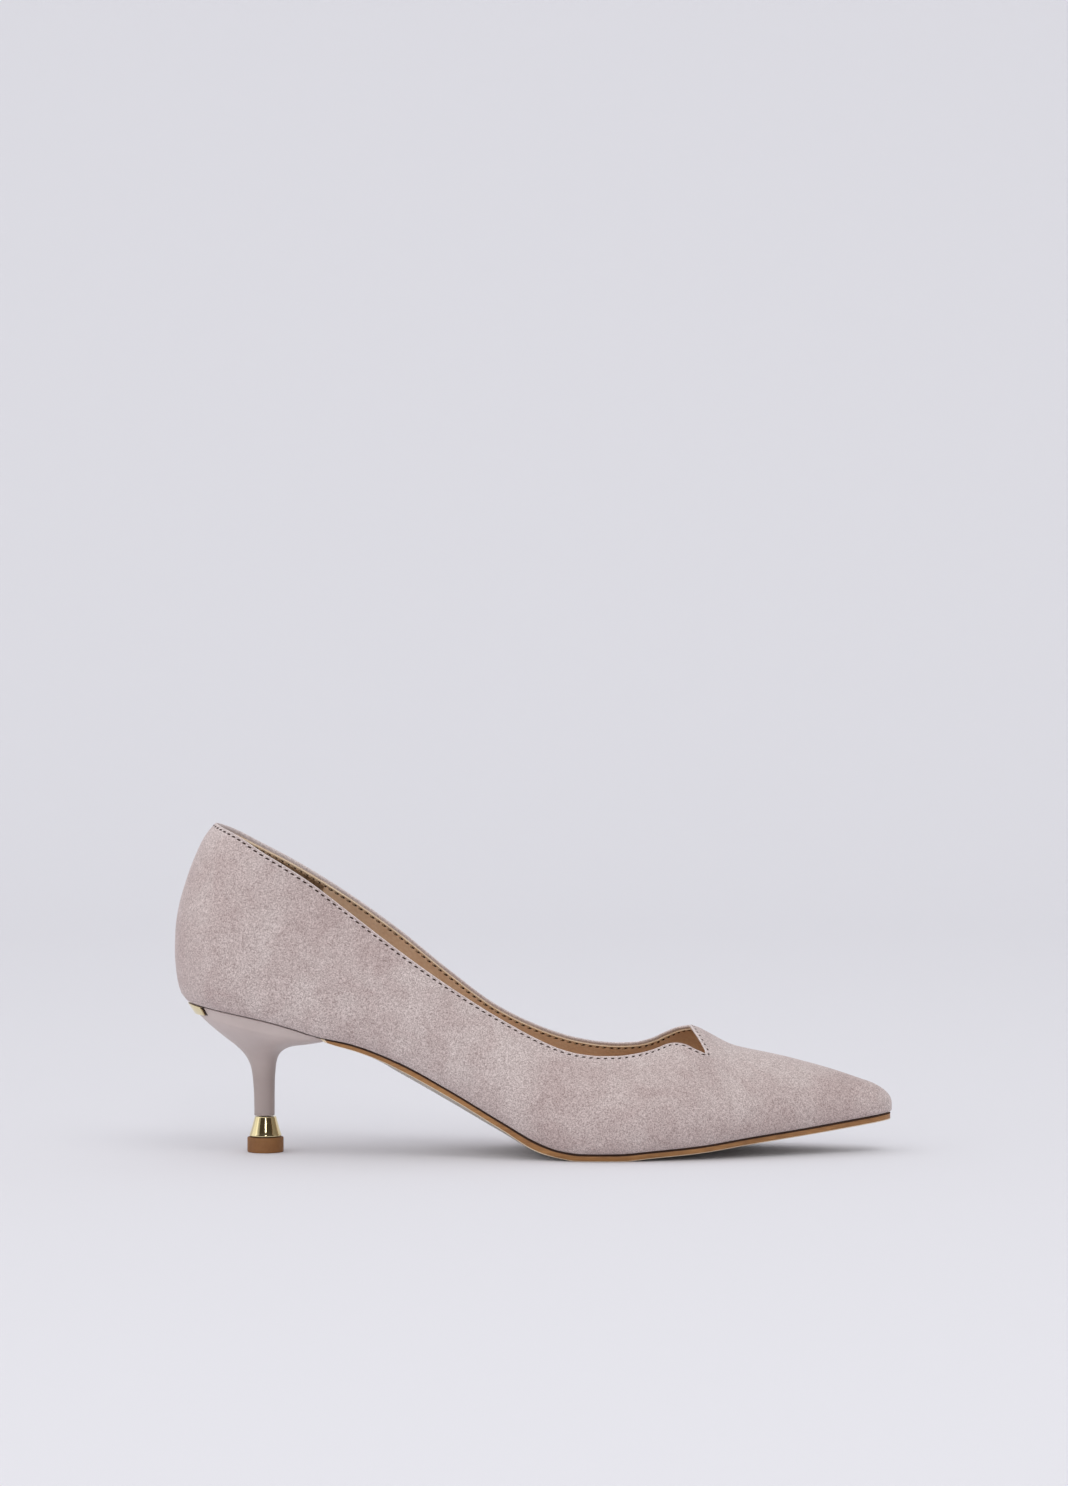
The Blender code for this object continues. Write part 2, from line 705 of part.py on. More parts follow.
def main():
    for old in list(bpy.data.objects):
        bpy.data.objects.remove(old, do_unlink=True)
    build_upper()
    build_insole()
    build_outsole()
    build_heel()
    build_heel_collar()
    build_top_piece()
    build_back_plate()


main()
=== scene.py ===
"""Kitten heel pump: mauve suede over tan leather, a thin leather sole and a slim covered heel.

+X runs to the toe, +Y to the inner side of the foot and +Z up. Lengths are in millimetres until
they go into a mesh, which is in metres.
"""

import bmesh
import bpy
import numpy as np
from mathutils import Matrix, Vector


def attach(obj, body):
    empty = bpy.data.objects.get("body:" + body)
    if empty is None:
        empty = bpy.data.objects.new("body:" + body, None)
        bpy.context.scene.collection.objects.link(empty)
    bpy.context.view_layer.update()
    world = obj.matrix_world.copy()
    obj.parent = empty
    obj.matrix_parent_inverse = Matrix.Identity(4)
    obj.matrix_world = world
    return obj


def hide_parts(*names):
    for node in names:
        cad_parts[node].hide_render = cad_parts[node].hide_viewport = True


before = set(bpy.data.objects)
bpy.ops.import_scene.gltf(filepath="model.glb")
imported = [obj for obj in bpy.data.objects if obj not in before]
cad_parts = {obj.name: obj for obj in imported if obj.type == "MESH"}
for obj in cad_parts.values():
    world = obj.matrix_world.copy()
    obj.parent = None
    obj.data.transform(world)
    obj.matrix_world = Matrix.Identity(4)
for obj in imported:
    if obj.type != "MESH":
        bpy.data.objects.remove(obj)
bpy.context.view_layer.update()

MM = 0.001

# Sizes of the shoe, as its solids have them
HEEL_BACK_X = -124.6
HEEL_ARC_X = -96.0
TOE_ARC_X = 122.0
TOE_TIP_X = 129.1
GAP = 0.3
UPPER_WALL = 1.6
TOE_WALL = 3.5
MARGIN_WIDTH = 8.0
TOE_MARGIN_WIDTH = 5.0
MARGIN_TAPER = (60.0, 118.0)
INSOLE_FLOOR = 1.7
INSOLE_THICK = 2.0
SOLE_EDGE_INSET = 0.5
SOLE_UNDERCUT = 0.6
NOTCH_START_X = 47.0
NOTCH_TIP_X = 61.0
NOTCH_SEARCH = (0.88, 0.12)
HEEL_FRONT_X = -76.0
STEM_CENTRE_X = -96.95
STEM_HALF_WIDTH = 4.0
TIP_CENTRE_X = -96.6
HEEL_TOP_BACK_X = -123.3
HEEL_TOP_HALF_WIDTH = 23.2
BACK_FADE_END_X = -50.0
FLOOR_FADE_HEIGHT = 15.0
SWELL_SHARE = 0.2


class Curve:
    """Smooth curve through given points that never overshoots between two of them."""

    def __init__(self, xs, ys):
        self.xs = np.asarray(xs, float)
        self.ys = np.asarray(ys, float)
        self.run = np.diff(self.xs)
        rise = np.diff(self.ys) / self.run
        self.slope = np.zeros(len(self.xs))
        self.slope[0] = rise[0]
        self.slope[-1] = rise[-1]
        for k in range(1, len(self.xs) - 1):
            if rise[k - 1] * rise[k] > 0.0:
                before = 2 * self.run[k] + self.run[k - 1]
                after = self.run[k] + 2 * self.run[k - 1]
                self.slope[k] = (before + after) / (before / rise[k - 1] + after / rise[k])

    def __call__(self, x):
        x = np.clip(x, self.xs[0], self.xs[-1])
        k = np.clip(np.searchsorted(self.xs, x) - 1, 0, len(self.run) - 1)
        t = (x - self.xs[k]) / self.run[k]
        start = (1 + 2 * t) * (1 - t) ** 2 * self.ys[k] + t * (1 - t) ** 2 * self.run[k] * self.slope[k]
        end = t * t * (3 - 2 * t) * self.ys[k + 1] + t * t * (t - 1) * self.run[k] * self.slope[k + 1]
        return start + end


def curves(columns, rows):
    """A smooth curve for each column after the first, read at a value of the first one."""
    table = np.array(rows, float)
    return {name: Curve(table[:, 0], table[:, k]) for k, name in enumerate(columns) if k}


# Edge where the upper turns under, seen from the side
FEATHER = curves(("x", "z"), (
    (-124.6, 54.5), (-118.0, 53.2), (-96.0, 48.8), (-85.0, 45.7), (-77.0, 43.1), (-65.0, 40.5),
    (-47.5, 33.8), (-29.7, 24.2), (-12.0, 13.8), (2.0, 6.1), (9.0, 3.7), (17.0, 2.7),
    (29.0, 2.7), (41.0, 3.6), (58.5, 5.0), (76.5, 7.4), (95.0, 9.6), (113.0, 12.0),
    (129.1, 14.3),
))

# Tread of the sole along its edge, and how far it swells below the edge in the waist. Towards the
# toe it lies up to 0.6 mm below the solid's, as in the photo.
TREAD = curves(("x", "z", "belly"), (
    (-76.0, 41.1, 0.0), (-65.0, 38.3, 0.3), (-55.0, 34.7, 1.6), (-47.5, 31.1, 2.6),
    (-29.7, 21.4, 3.0), (-12.0, 10.8, 2.6), (2.0, 2.7, 1.4), (9.0, 0.9, 0.4),
    (15.0, 0.0, 0.0), (31.0, 0.0, 0.0), (41.0, 0.9, 0.0), (58.5, 2.3, 0.0),
    (76.5, 4.7, 0.0), (95.0, 6.9, 0.0), (113.0, 9.2, 0.0), (129.1, 11.5, 0.0),
))

# Plan of the turned edge: distance out from the middle plane
PLAN = curves(("x", "outer", "inner"), (
    (-124.6, 23.4, 23.4), (-96.0, 24.0, 24.0), (-76.0, 23.8, 22.8), (-55.0, 23.6, 20.8),
    (-30.0, 25.2, 20.0), (-8.0, 29.0, 23.5), (10.0, 33.2, 29.8), (23.0, 34.85, 33.6),
    (36.0, 34.3, 35.2), (50.0, 31.6, 34.2), (61.0, 28.4, 31.8), (75.0, 23.2, 27.6),
    (90.0, 16.8, 22.6), (105.0, 10.3, 17.0), (117.0, 5.2, 12.9), (129.1, 0.6, 9.4),
))

# How far the sides swell past the turned edge, and how high above it
SWELL = curves(("x", "outer", "inner", "height"), (
    (-124.6, 3.8, 3.8, 13.0), (-96.0, 3.8, 3.8, 13.0), (-60.0, 4.2, 5.2, 13.0),
    (-25.0, 4.4, 6.4, 12.0), (5.0, 3.8, 4.6, 10.0), (30.0, 3.6, 3.4, 9.0),
    (61.0, 3.4, 3.2, 7.6), (90.0, 2.2, 2.2, 5.4), (115.0, 1.2, 1.2, 3.2),
    (129.1, 0.5, 0.5, 1.8),
))

# Line over the top of the foot, and how much flatter than an ellipse the sides are below it
RIDGE = curves(("x", "z", "y", "flatness"), (
    (-124.6, 150.0, 0.0, 0.0), (-96.0, 131.0, 0.0, 0.0), (-67.0, 108.0, 1.0, 0.0),
    (-47.0, 93.0, 2.0, 0.01), (-30.0, 79.0, 3.0, 0.03), (-12.0, 65.5, 3.5, 0.05),
    (6.0, 56.0, 4.0, 0.07), (23.0, 50.5, 4.5, 0.085), (36.0, 47.6, 5.0, 0.09),
    (47.0, 45.9, 5.0, 0.09), (56.6, 45.2, 5.0, 0.085), (59.1, 44.5, 5.0, 0.085),
    (62.0, 43.1, 5.0, 0.085), (65.3, 41.3, 5.0, 0.08), (69.4, 39.1, 5.0, 0.08),
    (72.8, 37.8, 5.0, 0.075), (77.7, 36.7, 5.0, 0.07), (88.8, 34.4, 5.0, 0.05),
    (96.0, 32.6, 5.0, 0.04), (103.5, 30.6, 4.9, 0.03), (110.7, 28.4, 4.8, 0.02),
    (118.0, 25.9, 4.7, 0.0), (121.6, 24.7, 4.6, 0.0), (125.2, 22.8, 4.5, 0.0),
    (127.0, 21.4, 4.5, 0.0), (128.5, 19.5, 4.5, 0.0), (129.1, 17.8, 4.4, 0.0),
))

# Back of the upper, seen from the side
BACK_CURVE = curves(("z", "x"), (
    (54.5, -124.6), (58.0, -127.1), (64.5, -128.5), (72.0, -129.1), (80.0, -128.9),
    (88.4, -127.7), (97.0, -125.3), (105.6, -122.2), (114.3, -117.9), (118.6, -114.3),
))

# Topline of each side, seen from the side. The inner one stands up to 0.8 mm above the solid's, as
# in the photo.
OUTER_TOPLINE = curves(("x", "z"), (
    (-114.3, 118.6), (-104.6, 114.0), (-97.3, 109.3), (-88.9, 104.2), (-79.4, 98.0),
    (-65.0, 87.0), (-47.3, 73.4), (-29.7, 60.9), (-12.0, 49.7), (2.1, 42.1), (9.2, 39.1),
    (16.0, 37.3), (23.3, 36.5), (29.4, 36.4), (35.6, 37.0), (41.8, 38.2), (45.5, 39.4),
    (48.0, 40.2), (50.8, 40.4), (53.8, 39.9), (57.5, 38.2), (61.0, 36.7),
))
INNER_TOPLINE = curves(("x", "z"), (
    (-114.3, 118.6), (-110.0, 116.8), (-100.1, 111.4), (-85.6, 103.6), (-67.4, 92.4),
    (-49.1, 79.3), (-30.8, 64.4), (-12.5, 51.0), (2.2, 43.9), (9.5, 41.2), (17.0, 39.2),
    (24.2, 38.0), (30.4, 37.6), (36.7, 37.9), (43.0, 39.6), (47.0, 41.8),
))

# Front edge of the notch in plan, where the inner topline turns in over the vamp. It lies up to
# 1.5 mm behind the solid's, as in the photo.
NOTCH_EDGE = curves(("x", "y"), (
    (47.0, 17.9), (51.0, 13.2), (53.6, 10.6), (55.3, 8.6), (56.1, 4.0), (57.0, -2.0),
    (58.6, -7.0), (61.0, -12.8),
))

# Rings of the heel from its foot to its flare, each tilted down from the back to the front
HEEL_LEVELS = curves(("back_z", "back_x", "front_x", "front_z", "half_width", "squareness"), (
    (13.1, -100.6, -93.3, 13.1, 3.65, 2.0),
    (20.0, -100.7, -93.3, 20.0, 3.7, 2.0),
    (26.0, -101.1, -93.2, 26.0, 4.0, 2.0),
    (30.1, -101.7, -92.95, 29.8, 4.6, 2.0),
    (32.9, -102.7, -92.6, 32.4, 5.6, 2.0),
    (35.3, -104.2, -92.0, 34.4, 7.2, 2.0),
    (38.1, -106.9, -90.5, 36.3, 10.0, 2.1),
    (41.1, -110.7, -88.3, 37.6, 13.4, 2.3),
    (44.1, -114.4, -85.2, 38.5, 16.8, 2.6),
    (47.1, -117.8, -81.0, 39.1, 19.8, 3.0),
    (50.0, -120.7, -77.2, 39.8, 22.0, 3.6),
))
HEEL_BOTTOM_Z = 13.1
HEEL_FLARE_TOP_Z = 50.0


def place(s, back_inset=0.0, toe_inset=0.0):
    """X and end-rounding factor of a station.

    s runs from -1 at the back to 0 where the round heel ends, on to 1 where the round toe
    starts, and to 2 at the tip.
    """
    back = np.pi / 2 * np.clip(1.0 + s, 0.0, 1.0)
    toe = np.pi / 2 * np.clip(s - 1.0, 0.0, 1.0)
    x = HEEL_ARC_X - (HEEL_ARC_X - HEEL_BACK_X - back_inset) * np.cos(back)
    x = x + np.clip(s, 0.0, 1.0) * (TOE_ARC_X - HEEL_ARC_X)
    x = x + (TOE_TIP_X - TOE_ARC_X - toe_inset) * np.sin(toe)
    return x, np.sin(back) * np.cos(toe)


def station(x):
    return (x - HEEL_ARC_X) / (TOE_ARC_X - HEEL_ARC_X)


def last_point(s, q, wall=0.0, floor=0.0):
    """Points on the last at stations s, as x, y and z.

    q runs from 0 at the outer turned edge over the ridge at 0.5 to 1 at the inner one. The
    surface lies wall inside the upper's outside, and its bottom edge floor above the turn.
    """
    s, q = np.broadcast_arrays(np.asarray(s, float), np.asarray(q, float))
    x0, rounding = place(s, wall, wall * TOE_WALL / UPPER_WALL)
    inner = q > 0.5
    climb = np.where(inner, 2 - 2 * q, 2 * q)
    side = np.where(inner, 1.0, -1.0)
    plan_outer, plan_inner = PLAN["outer"](x0), PLAN["inner"](x0)
    edge = np.where(inner, plan_inner, plan_outer) - wall
    swell = np.where(inner, SWELL["inner"](x0), SWELL["outer"](x0))
    low = FEATHER["z"](x0) + floor
    wide = FEATHER["z"](x0) + SWELL["height"](x0)
    ridge_z = RIDGE["z"](x0) - wall
    ridge_y = RIDGE["y"](x0)
    below = climb < SWELL_SHARE
    above_turn = (climb - SWELL_SHARE) / (1 - SWELL_SHARE)
    turn = np.pi / 2 * np.where(below, climb / SWELL_SHARE, above_turn)
    pull = 1 - RIDGE["flatness"](x0) * np.sin(2 * turn) ** 2
    reach = edge + swell - side * ridge_y
    y_low = side * (edge + swell * np.sin(turn))
    y = np.where(below, y_low, ridge_y + side * reach * np.cos(turn) * pull)
    z_low = low + (wide - low) * (1 - np.cos(turn))
    z = np.where(below, z_low, wide + (ridge_z - wide) * np.sin(turn) * pull)
    middle = (plan_inner - plan_outer) / 2
    y = middle + (y - middle) * rounding
    floor_share = np.clip(1 - (z - low) / FLOOR_FADE_HEIGHT, 0.0, 1.0)
    height = z + FEATHER["z"](HEEL_BACK_X) - FEATHER["z"](x0) - floor * floor_share
    fade = np.clip((BACK_FADE_END_X - x0) / (BACK_FADE_END_X - HEEL_ARC_X), 0.0, 1.0)
    fade = fade * fade * (3 - 2 * fade)
    x = x0 + fade * (BACK_CURVE["x"](height) - HEEL_BACK_X)
    return np.stack([x, y, z], axis=-1)


def unit(vectors):
    return vectors / np.maximum(np.linalg.norm(vectors, axis=-1, keepdims=True), 1e-9)


def dot(first, second):
    return np.sum(first * second, axis=-1)


def along_surface(heading, normal):
    """A heading laid into the surface."""
    return unit(heading - dot(heading, normal)[..., None] * normal)


def surface_frame(s, q):
    """How a point on the outside moves with s and with q, and the way the surface faces."""
    step = 1e-4
    here = last_point(s, q)
    along = (last_point(s + step, q) - here) / step
    across = (last_point(s, q + step) - last_point(s, q - step)) / (2 * step)
    return along, across, unit(np.cross(along, across))


LONGEST_STEP = 0.5


def march(s, q, heading, distance):
    """Walk over the outside from points s, q by a distance, and return the new s and q."""
    steps = max(1, int(np.ceil(abs(distance) / LONGEST_STEP)))
    for _ in range(steps):
        along, across, normal = surface_frame(s, q)
        heading = along_surface(heading, normal)
        aa, ab, bb = dot(along, along), dot(along, across), dot(across, across)
        ha, hb = dot(heading, along), dot(heading, across)
        spread = aa * bb - ab * ab
        s = np.maximum(s + distance / steps * (ha * bb - hb * ab) / spread, -1.0)
        q = q + distance / steps * (hb * aa - ha * ab) / spread
    return s, q


# The topline as one loop: from the back along the outer side to the tip of the notch, then over
# the vamp and back along the inner side
SECTION_SAMPLES = 500
ARC_SAMPLES = 120
SIDE_SAMPLES = 400
NOTCH_SAMPLES = 300
NOTCH_BLEND = 4.0             # length over which the inner topline turns into the notch's edge


def first_crossing(q, value):
    """q at which each row of values first turns from negative to positive."""
    after = np.argmax(value > 0.0, axis=1)
    row = np.arange(len(value))
    low, high = value[row, after - 1], value[row, after]
    return q[after - 1] + low / (low - high) * (q[after] - q[after - 1])


def side_q(s, start, topline):
    """q of the topline on one side, looking up from the turned edge at start."""
    q = np.linspace(start, 0.5, SECTION_SAMPLES)
    points = last_point(s[:, None], q[None, :])
    return first_crossing(q, points[..., 2] - topline["z"](points[..., 0]))


def notch_q(s):
    q = np.linspace(*NOTCH_SEARCH, 2 * SECTION_SAMPLES)
    points = last_point(s[:, None], q[None, :])
    return first_crossing(q, NOTCH_EDGE["y"](place(s)[0])[:, None] - points[..., 1])


def topline_loop():
    arc = np.linspace(-1.0, 0.0, ARC_SAMPLES)
    straight = station(np.linspace(HEEL_ARC_X, NOTCH_START_X, SIDE_SAMPLES)[1:])
    notch = station(np.linspace(NOTCH_START_X, NOTCH_TIP_X, NOTCH_SAMPLES)[1:])
    s = np.concatenate([arc, straight, notch])
    outer = side_q(s, 0.0, OUTER_TOPLINE)
    behind = side_q(s[:-len(notch)], 1.0, INNER_TOPLINE)
    over = notch_q(notch)
    into = np.clip((place(notch)[0] - NOTCH_START_X) / NOTCH_BLEND, 0.0, 1.0)
    over = over + (behind[-1] - over[0]) * (1 - into) ** 2
    inner = np.concatenate([behind, over])
    inner[-1] = outer[-1]
    loop_s = np.concatenate([s, s[-2::-1]])
    loop_q = np.concatenate([outer, inner[-2::-1]])
    steps = np.linalg.norm(np.diff(last_point(loop_s, loop_q), axis=0), axis=1)
    length = np.concatenate([[0.0], np.cumsum(steps)])
    return loop_s, loop_q, length, length[len(s) - 1]


LOOP_S, LOOP_Q, LOOP_LENGTH, LOOP_TIP = topline_loop()
LOOP_TOTAL = LOOP_LENGTH[-1]
TANGENT_REACH = 0.5

# Distances along the loop of the columns of faces: close together at the back seam, on both sides
# of the notch's tip and along its front edge
SEAM_COLUMNS = (0.0, 0.25, 0.5, 0.8, 1.2, 1.8, 2.6, 3.8)
BEFORE_TIP_COLUMNS = (6.8, 5.6, 4.5, 3.5, 2.6, 1.8, 1.1, 0.5)
PAST_TIP_COLUMNS = (0.5, 1.1)
NOTCH_EDGE_COLUMNS = (1.8, 38.0, 0.9)     # start, end and step
SEAM_CLEAR = 5.2
TIP_CLEAR = 8.0
NOTCH_EDGE_CLEAR = 1.3
OUTER_COLUMNS = 112
INNER_COLUMNS = 108
FAN_COLUMNS = 7


def loop_point(length):
    length = np.mod(length, LOOP_TOTAL)
    return np.interp(length, LOOP_LENGTH, LOOP_S), np.interp(length, LOOP_LENGTH, LOOP_Q)


def loop_columns():
    """Station, q and heading of each column along the loop.

    A heading points from the topline into the material. Round the tip of the notch it turns.
    """
    seam = np.array(SEAM_COLUMNS)
    outer = np.linspace(SEAM_CLEAR, LOOP_TIP - TIP_CLEAR, OUTER_COLUMNS)
    near_tip = LOOP_TIP - np.array(BEFORE_TIP_COLUMNS)
    past_tip = LOOP_TIP + np.concatenate([PAST_TIP_COLUMNS, np.arange(*NOTCH_EDGE_COLUMNS)])
    inner = np.linspace(past_tip[-1] + NOTCH_EDGE_CLEAR, LOOP_TOTAL - SEAM_CLEAR, INNER_COLUMNS)
    back = LOOP_TOTAL - seam[::-1]
    back[-1] = LOOP_TOTAL - 1e-9                  # not the end itself, which reads as the start
    places, headings = [], []
    for branch, low, high in (
        (np.concatenate([seam, outer, near_tip, [LOOP_TIP]]), -np.inf, LOOP_TIP),
        (np.concatenate([[LOOP_TIP], past_tip, inner, back]), LOOP_TIP, np.inf),
    ):
        s, q = loop_point(branch)
        before = last_point(*loop_point(np.maximum(branch - TANGENT_REACH, low)))
        after = last_point(*loop_point(np.minimum(branch + TANGENT_REACH, high)))
        normal = surface_frame(s, q)[2]
        places.append((s, q))
        headings.append(unit(np.cross(unit(after - before), normal)))
    turn = np.linspace(0.0, 1.0, FAN_COLUMNS + 2)[1:-1, None]
    start, end = headings[0][-1], headings[1][0]
    angle = np.arccos(np.clip(np.dot(start, end), -1.0, 1.0))
    fan = unit(start * np.sin((1 - turn) * angle) + end * np.sin(turn * angle))
    (outer_s, outer_q), (inner_s, inner_q) = places
    s = np.concatenate([outer_s, np.full(FAN_COLUMNS, outer_s[-1]), inner_s])
    q = np.concatenate([outer_q, np.full(FAN_COLUMNS, outer_q[-1]), inner_q])
    return s, q, np.concatenate([headings[0], fan, headings[1]])


COLUMN_S, COLUMN_Q, COLUMN_HEADING = loop_columns()

# Strip that follows the topline, and the walls below it
STRIP_WIDTH = 4.0
BODY_ROWS = 26
INSIDE_ROWS = 14              # on faces that stay hidden
ROW_SAMPLES = 160
FRONT_STEP = 2.0
TOE_STEPS = 14
FEATHER_ROUND = 0.9


def strip_places(distance):
    return march(COLUMN_S, COLUMN_Q, COLUMN_HEADING, distance)


CUT_S, CUT_Q = strip_places(STRIP_WIDTH)
FRONT_COLUMN = int(np.argmax(CUT_S))


def body_columns():
    """Stations and q of both sides below the strip, and of the closed front with its seam."""
    x_start = float(place(CUT_S[FRONT_COLUMN])[0])
    count = int((TOE_ARC_X - x_start) / FRONT_STEP)
    front = station(np.linspace(x_start, TOE_ARC_X, count + 1)[1:])
    front = np.concatenate([front, np.linspace(1.0, 2.0, TOE_STEPS + 1)[1:]])
    seam_share = (TOE_TIP_X - place(front)[0]) / (TOE_TIP_X - x_start)
    seam = 0.5 - (0.5 - CUT_Q[FRONT_COLUMN]) * seam_share
    outer = np.concatenate([CUT_S[:FRONT_COLUMN + 1], front])
    outer_q = np.concatenate([CUT_Q[:FRONT_COLUMN + 1], seam])
    inner = np.concatenate([CUT_S[:FRONT_COLUMN - 1:-1], front])
    inner_q = np.concatenate([CUT_Q[:FRONT_COLUMN - 1:-1], seam])
    return (outer, outer_q, 0.0), (inner, inner_q, 1.0)


def even_rows(s, q_top, q_low, keep_clear, rows=BODY_ROWS):
    """q of evenly spaced rows from keep_clear above the turned edge up to q_top."""
    share = np.linspace(0.0, 1.0, ROW_SAMPLES)
    q = q_low + (q_top[:, None] - q_low) * share[None, :]
    steps = np.linalg.norm(np.diff(last_point(s[:, None], q), axis=1), axis=2)
    length = np.concatenate([np.zeros((len(s), 1)), np.cumsum(steps, axis=1)], axis=1)
    wanted = np.linspace(0.0, 1.0, rows)
    result = []
    for k in range(len(s)):
        targets = keep_clear + wanted * (length[k, -1] - keep_clear)
        result.append(np.interp(targets, length[k], q[k]))
    return np.array(result)


def margin_at(s, outer_side, width, z_shift):
    """Points under the shoe, width in from the turned edge."""
    x0, rounding = place(s, width, width)
    plan = PLAN["outer" if outer_side else "inner"](x0) - width
    middle = (PLAN["inner"](x0) - PLAN["outer"](x0)) / 2
    y = middle + ((-plan if outer_side else plan) - middle) * rounding
    return np.stack([x0, y, FEATHER["z"](x0) + z_shift], axis=-1)


MERGE_DISTANCE = 2e-6         # in metres
FLAT_EDGE = 1e-7


def add_object(name, data):
    thing = bpy.data.objects.new(name, data)
    bpy.context.scene.collection.objects.link(thing)
    return thing


class Surface:
    """Collects grids of points as faces; points that lie together become one corner."""

    def __init__(self):
        self.corners = []
        self.faces = []
        self.kinds = []
        self.total = 0

    def grid(self, points, kind=0, closed=False):
        """Faces between neighbouring rows of an array of columns by rows by x, y, z."""
        columns, rows = points.shape[:2]
        number = self.total + np.arange(columns * rows).reshape(columns, rows)
        self.corners.append(points.reshape(-1, 3))
        self.total += columns * rows
        last = rows if closed else rows - 1
        for c in range(columns - 1):
            for r in range(last):
                after = (r + 1) % rows
                ring = (number[c, r], number[c, after], number[c + 1, after], number[c + 1, r])
                self.faces.append([int(value) for value in ring])
                self.kinds.append(kind[r] if isinstance(kind, (list, tuple)) else kind)

    def cap(self, ring, kind=0):
        """Close a ring of points with a fan from its middle."""
        ring = np.asarray(ring)
        start = self.total
        self.corners.append(np.concatenate([ring, ring.mean(axis=0)[None]]))
        self.total += len(ring) + 1
        for k in range(len(ring)):
            self.faces.append([start + k, start + (k + 1) % len(ring), start + len(ring)])
            self.kinds.append(kind)

    def bands(self, rings):
        """A band of faces between each closed ring and the next."""
        for low, high in zip(rings, rings[1:]):
            self.grid(np.stack([low, high]), closed=True)

    def tube(self, rings):
        """Closed rings joined in one grid, with a cap at both ends."""
        self.grid(np.asarray(rings), closed=True)
        self.cap(rings[0])
        self.cap(rings[-1])

    def piece(self, name, materials, sharp_angle):
        """Make the collected faces a closed mesh object, faces out."""
        mesh = bpy.data.meshes.new(name)
        mesh.from_pydata((np.concatenate(self.corners) * MM).tolist(), [], self.faces)
        mesh.polygons.foreach_set("material_index", self.kinds)
        solid = bmesh.new()
        solid.from_mesh(mesh)
        bmesh.ops.remove_doubles(solid, verts=solid.verts, dist=MERGE_DISTANCE)
        bmesh.ops.dissolve_degenerate(solid, edges=solid.edges, dist=FLAT_EDGE)
        bmesh.ops.recalc_face_normals(solid, faces=solid.faces)
        if solid.calc_volume(signed=True) < 0.0:
            bmesh.ops.reverse_faces(solid, faces=solid.faces)
        solid.to_mesh(mesh)
        solid.free()
        mesh.shade_smooth()
        mesh.set_sharp_from_angle(angle=np.radians(sharp_angle))
        for material in materials:
            mesh.materials.append(material)
        return add_object(name, mesh)


def settle(piece, slot, *nodes):
    """Fix a finished piece to the shoe and hide the solids it stands for. The slot is not used."""
    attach(piece, "root")
    if nodes:
        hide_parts(*nodes)
    return piece


# Upper: suede folded over the topline, with a lining glued inside the fold
OUTSIDE = 0.0                 # walls are counted from the outside of the suede
SUEDE_DEPTH = 1.0             # to the back of the folded suede
SUEDE_MARGIN = 1.0            # thickness of the turned edge under the shoe
EDGE_START = 0.5              # the fold's round starts this far below its crown
LINING_TOP = 1.1              # the lining ends this far below the crown
LINING_BACK = 1.05
LINING_FLOOR = SUEDE_MARGIN + 0.1
OUTSIDE_STITCH = 1.35
LINING_STITCH = 1.95
OUTSIDE_VALLEY = (0.12, OUTSIDE_STITCH)           # how deep the stitches pull in, where, how wide
LINING_VALLEY = (-0.1, LINING_STITCH, 0.25)
STRIP_ROWS = (4.0, 3.4, 2.8, 2.3, 1.9, 1.6, 1.35, 1.1, 0.85, 0.65, 0.5)
FOLD_ROWS = (0.5, 0.9, 1.5, 2.2, 3.0, 4.0)
LINING_ROWS = (4.0, 3.3, 2.7, 2.35, 2.1, 1.95, 1.8, 1.65, 1.5, 1.4, 1.1)
LINING_BACK_ROWS = (LINING_TOP, 1.6, 2.8, STRIP_WIDTH)
ROLL_STEPS = 7
TURN_SHARES = (0.25, 0.5, 0.75)
SEAM_WIDTH = 0.4
SEAM_DEPTH = 0.3


def seam_sunk(points, normal):
    """Points pulled in along the seam down the middle of the back."""
    near = np.exp(-(points[..., 1] / SEAM_WIDTH) ** 2) * (points[..., 0] < HEEL_ARC_X)
    return points - normal * (SEAM_DEPTH * near)[..., None]


def strip_points(rows, wall, floor=0.0, valley=0.0, valley_at=0.0, valley_width=0.3):
    """Rows of points at distances below the topline, pulled in along a stitch line."""
    columns = []
    for distance in rows:
        s, q = strip_places(distance)
        points = last_point(s, q, wall, floor)
        normal = surface_frame(s, q)[2]
        sink = valley * np.exp(-((distance - valley_at) / valley_width) ** 2)
        points = points - normal * sink
        columns.append(seam_sunk(points, normal) if wall == OUTSIDE else points)
    return np.stack(columns, axis=1)


def roll_points(outside, inside, reach, steps):
    """Half-round rows from the outside over the folded edge to the inside."""
    middle = (outside + inside) / 2
    half = (outside - inside) / 2
    s, q = strip_places(EDGE_START)
    normal = surface_frame(s, q)[2]
    heading = along_surface(COLUMN_HEADING, normal)
    rows = []
    for angle in np.linspace(0.0, np.pi, steps + 1)[1:-1]:
        rows.append(middle + half * np.cos(angle) - heading * reach * np.sin(angle))
    return np.stack(rows, axis=1)


def add_body(surface, side, wall, floor, keep_clear=0.0, rows=BODY_ROWS, below=None):
    """Faces of one side, from the turned edge or what lies below it up to the strip."""
    s, q_top, q_low = side
    q = even_rows(s, q_top, q_low, keep_clear, rows)
    q[:, -1] = q_top
    points = last_point(s[:, None], q, wall, floor)
    if wall == OUTSIDE:
        points = seam_sunk(points, surface_frame(s[:, None], q)[2])
    if below is not None:
        points = np.concatenate([below(s, q_low == 0.0, points), points], axis=1)
    surface.grid(points)


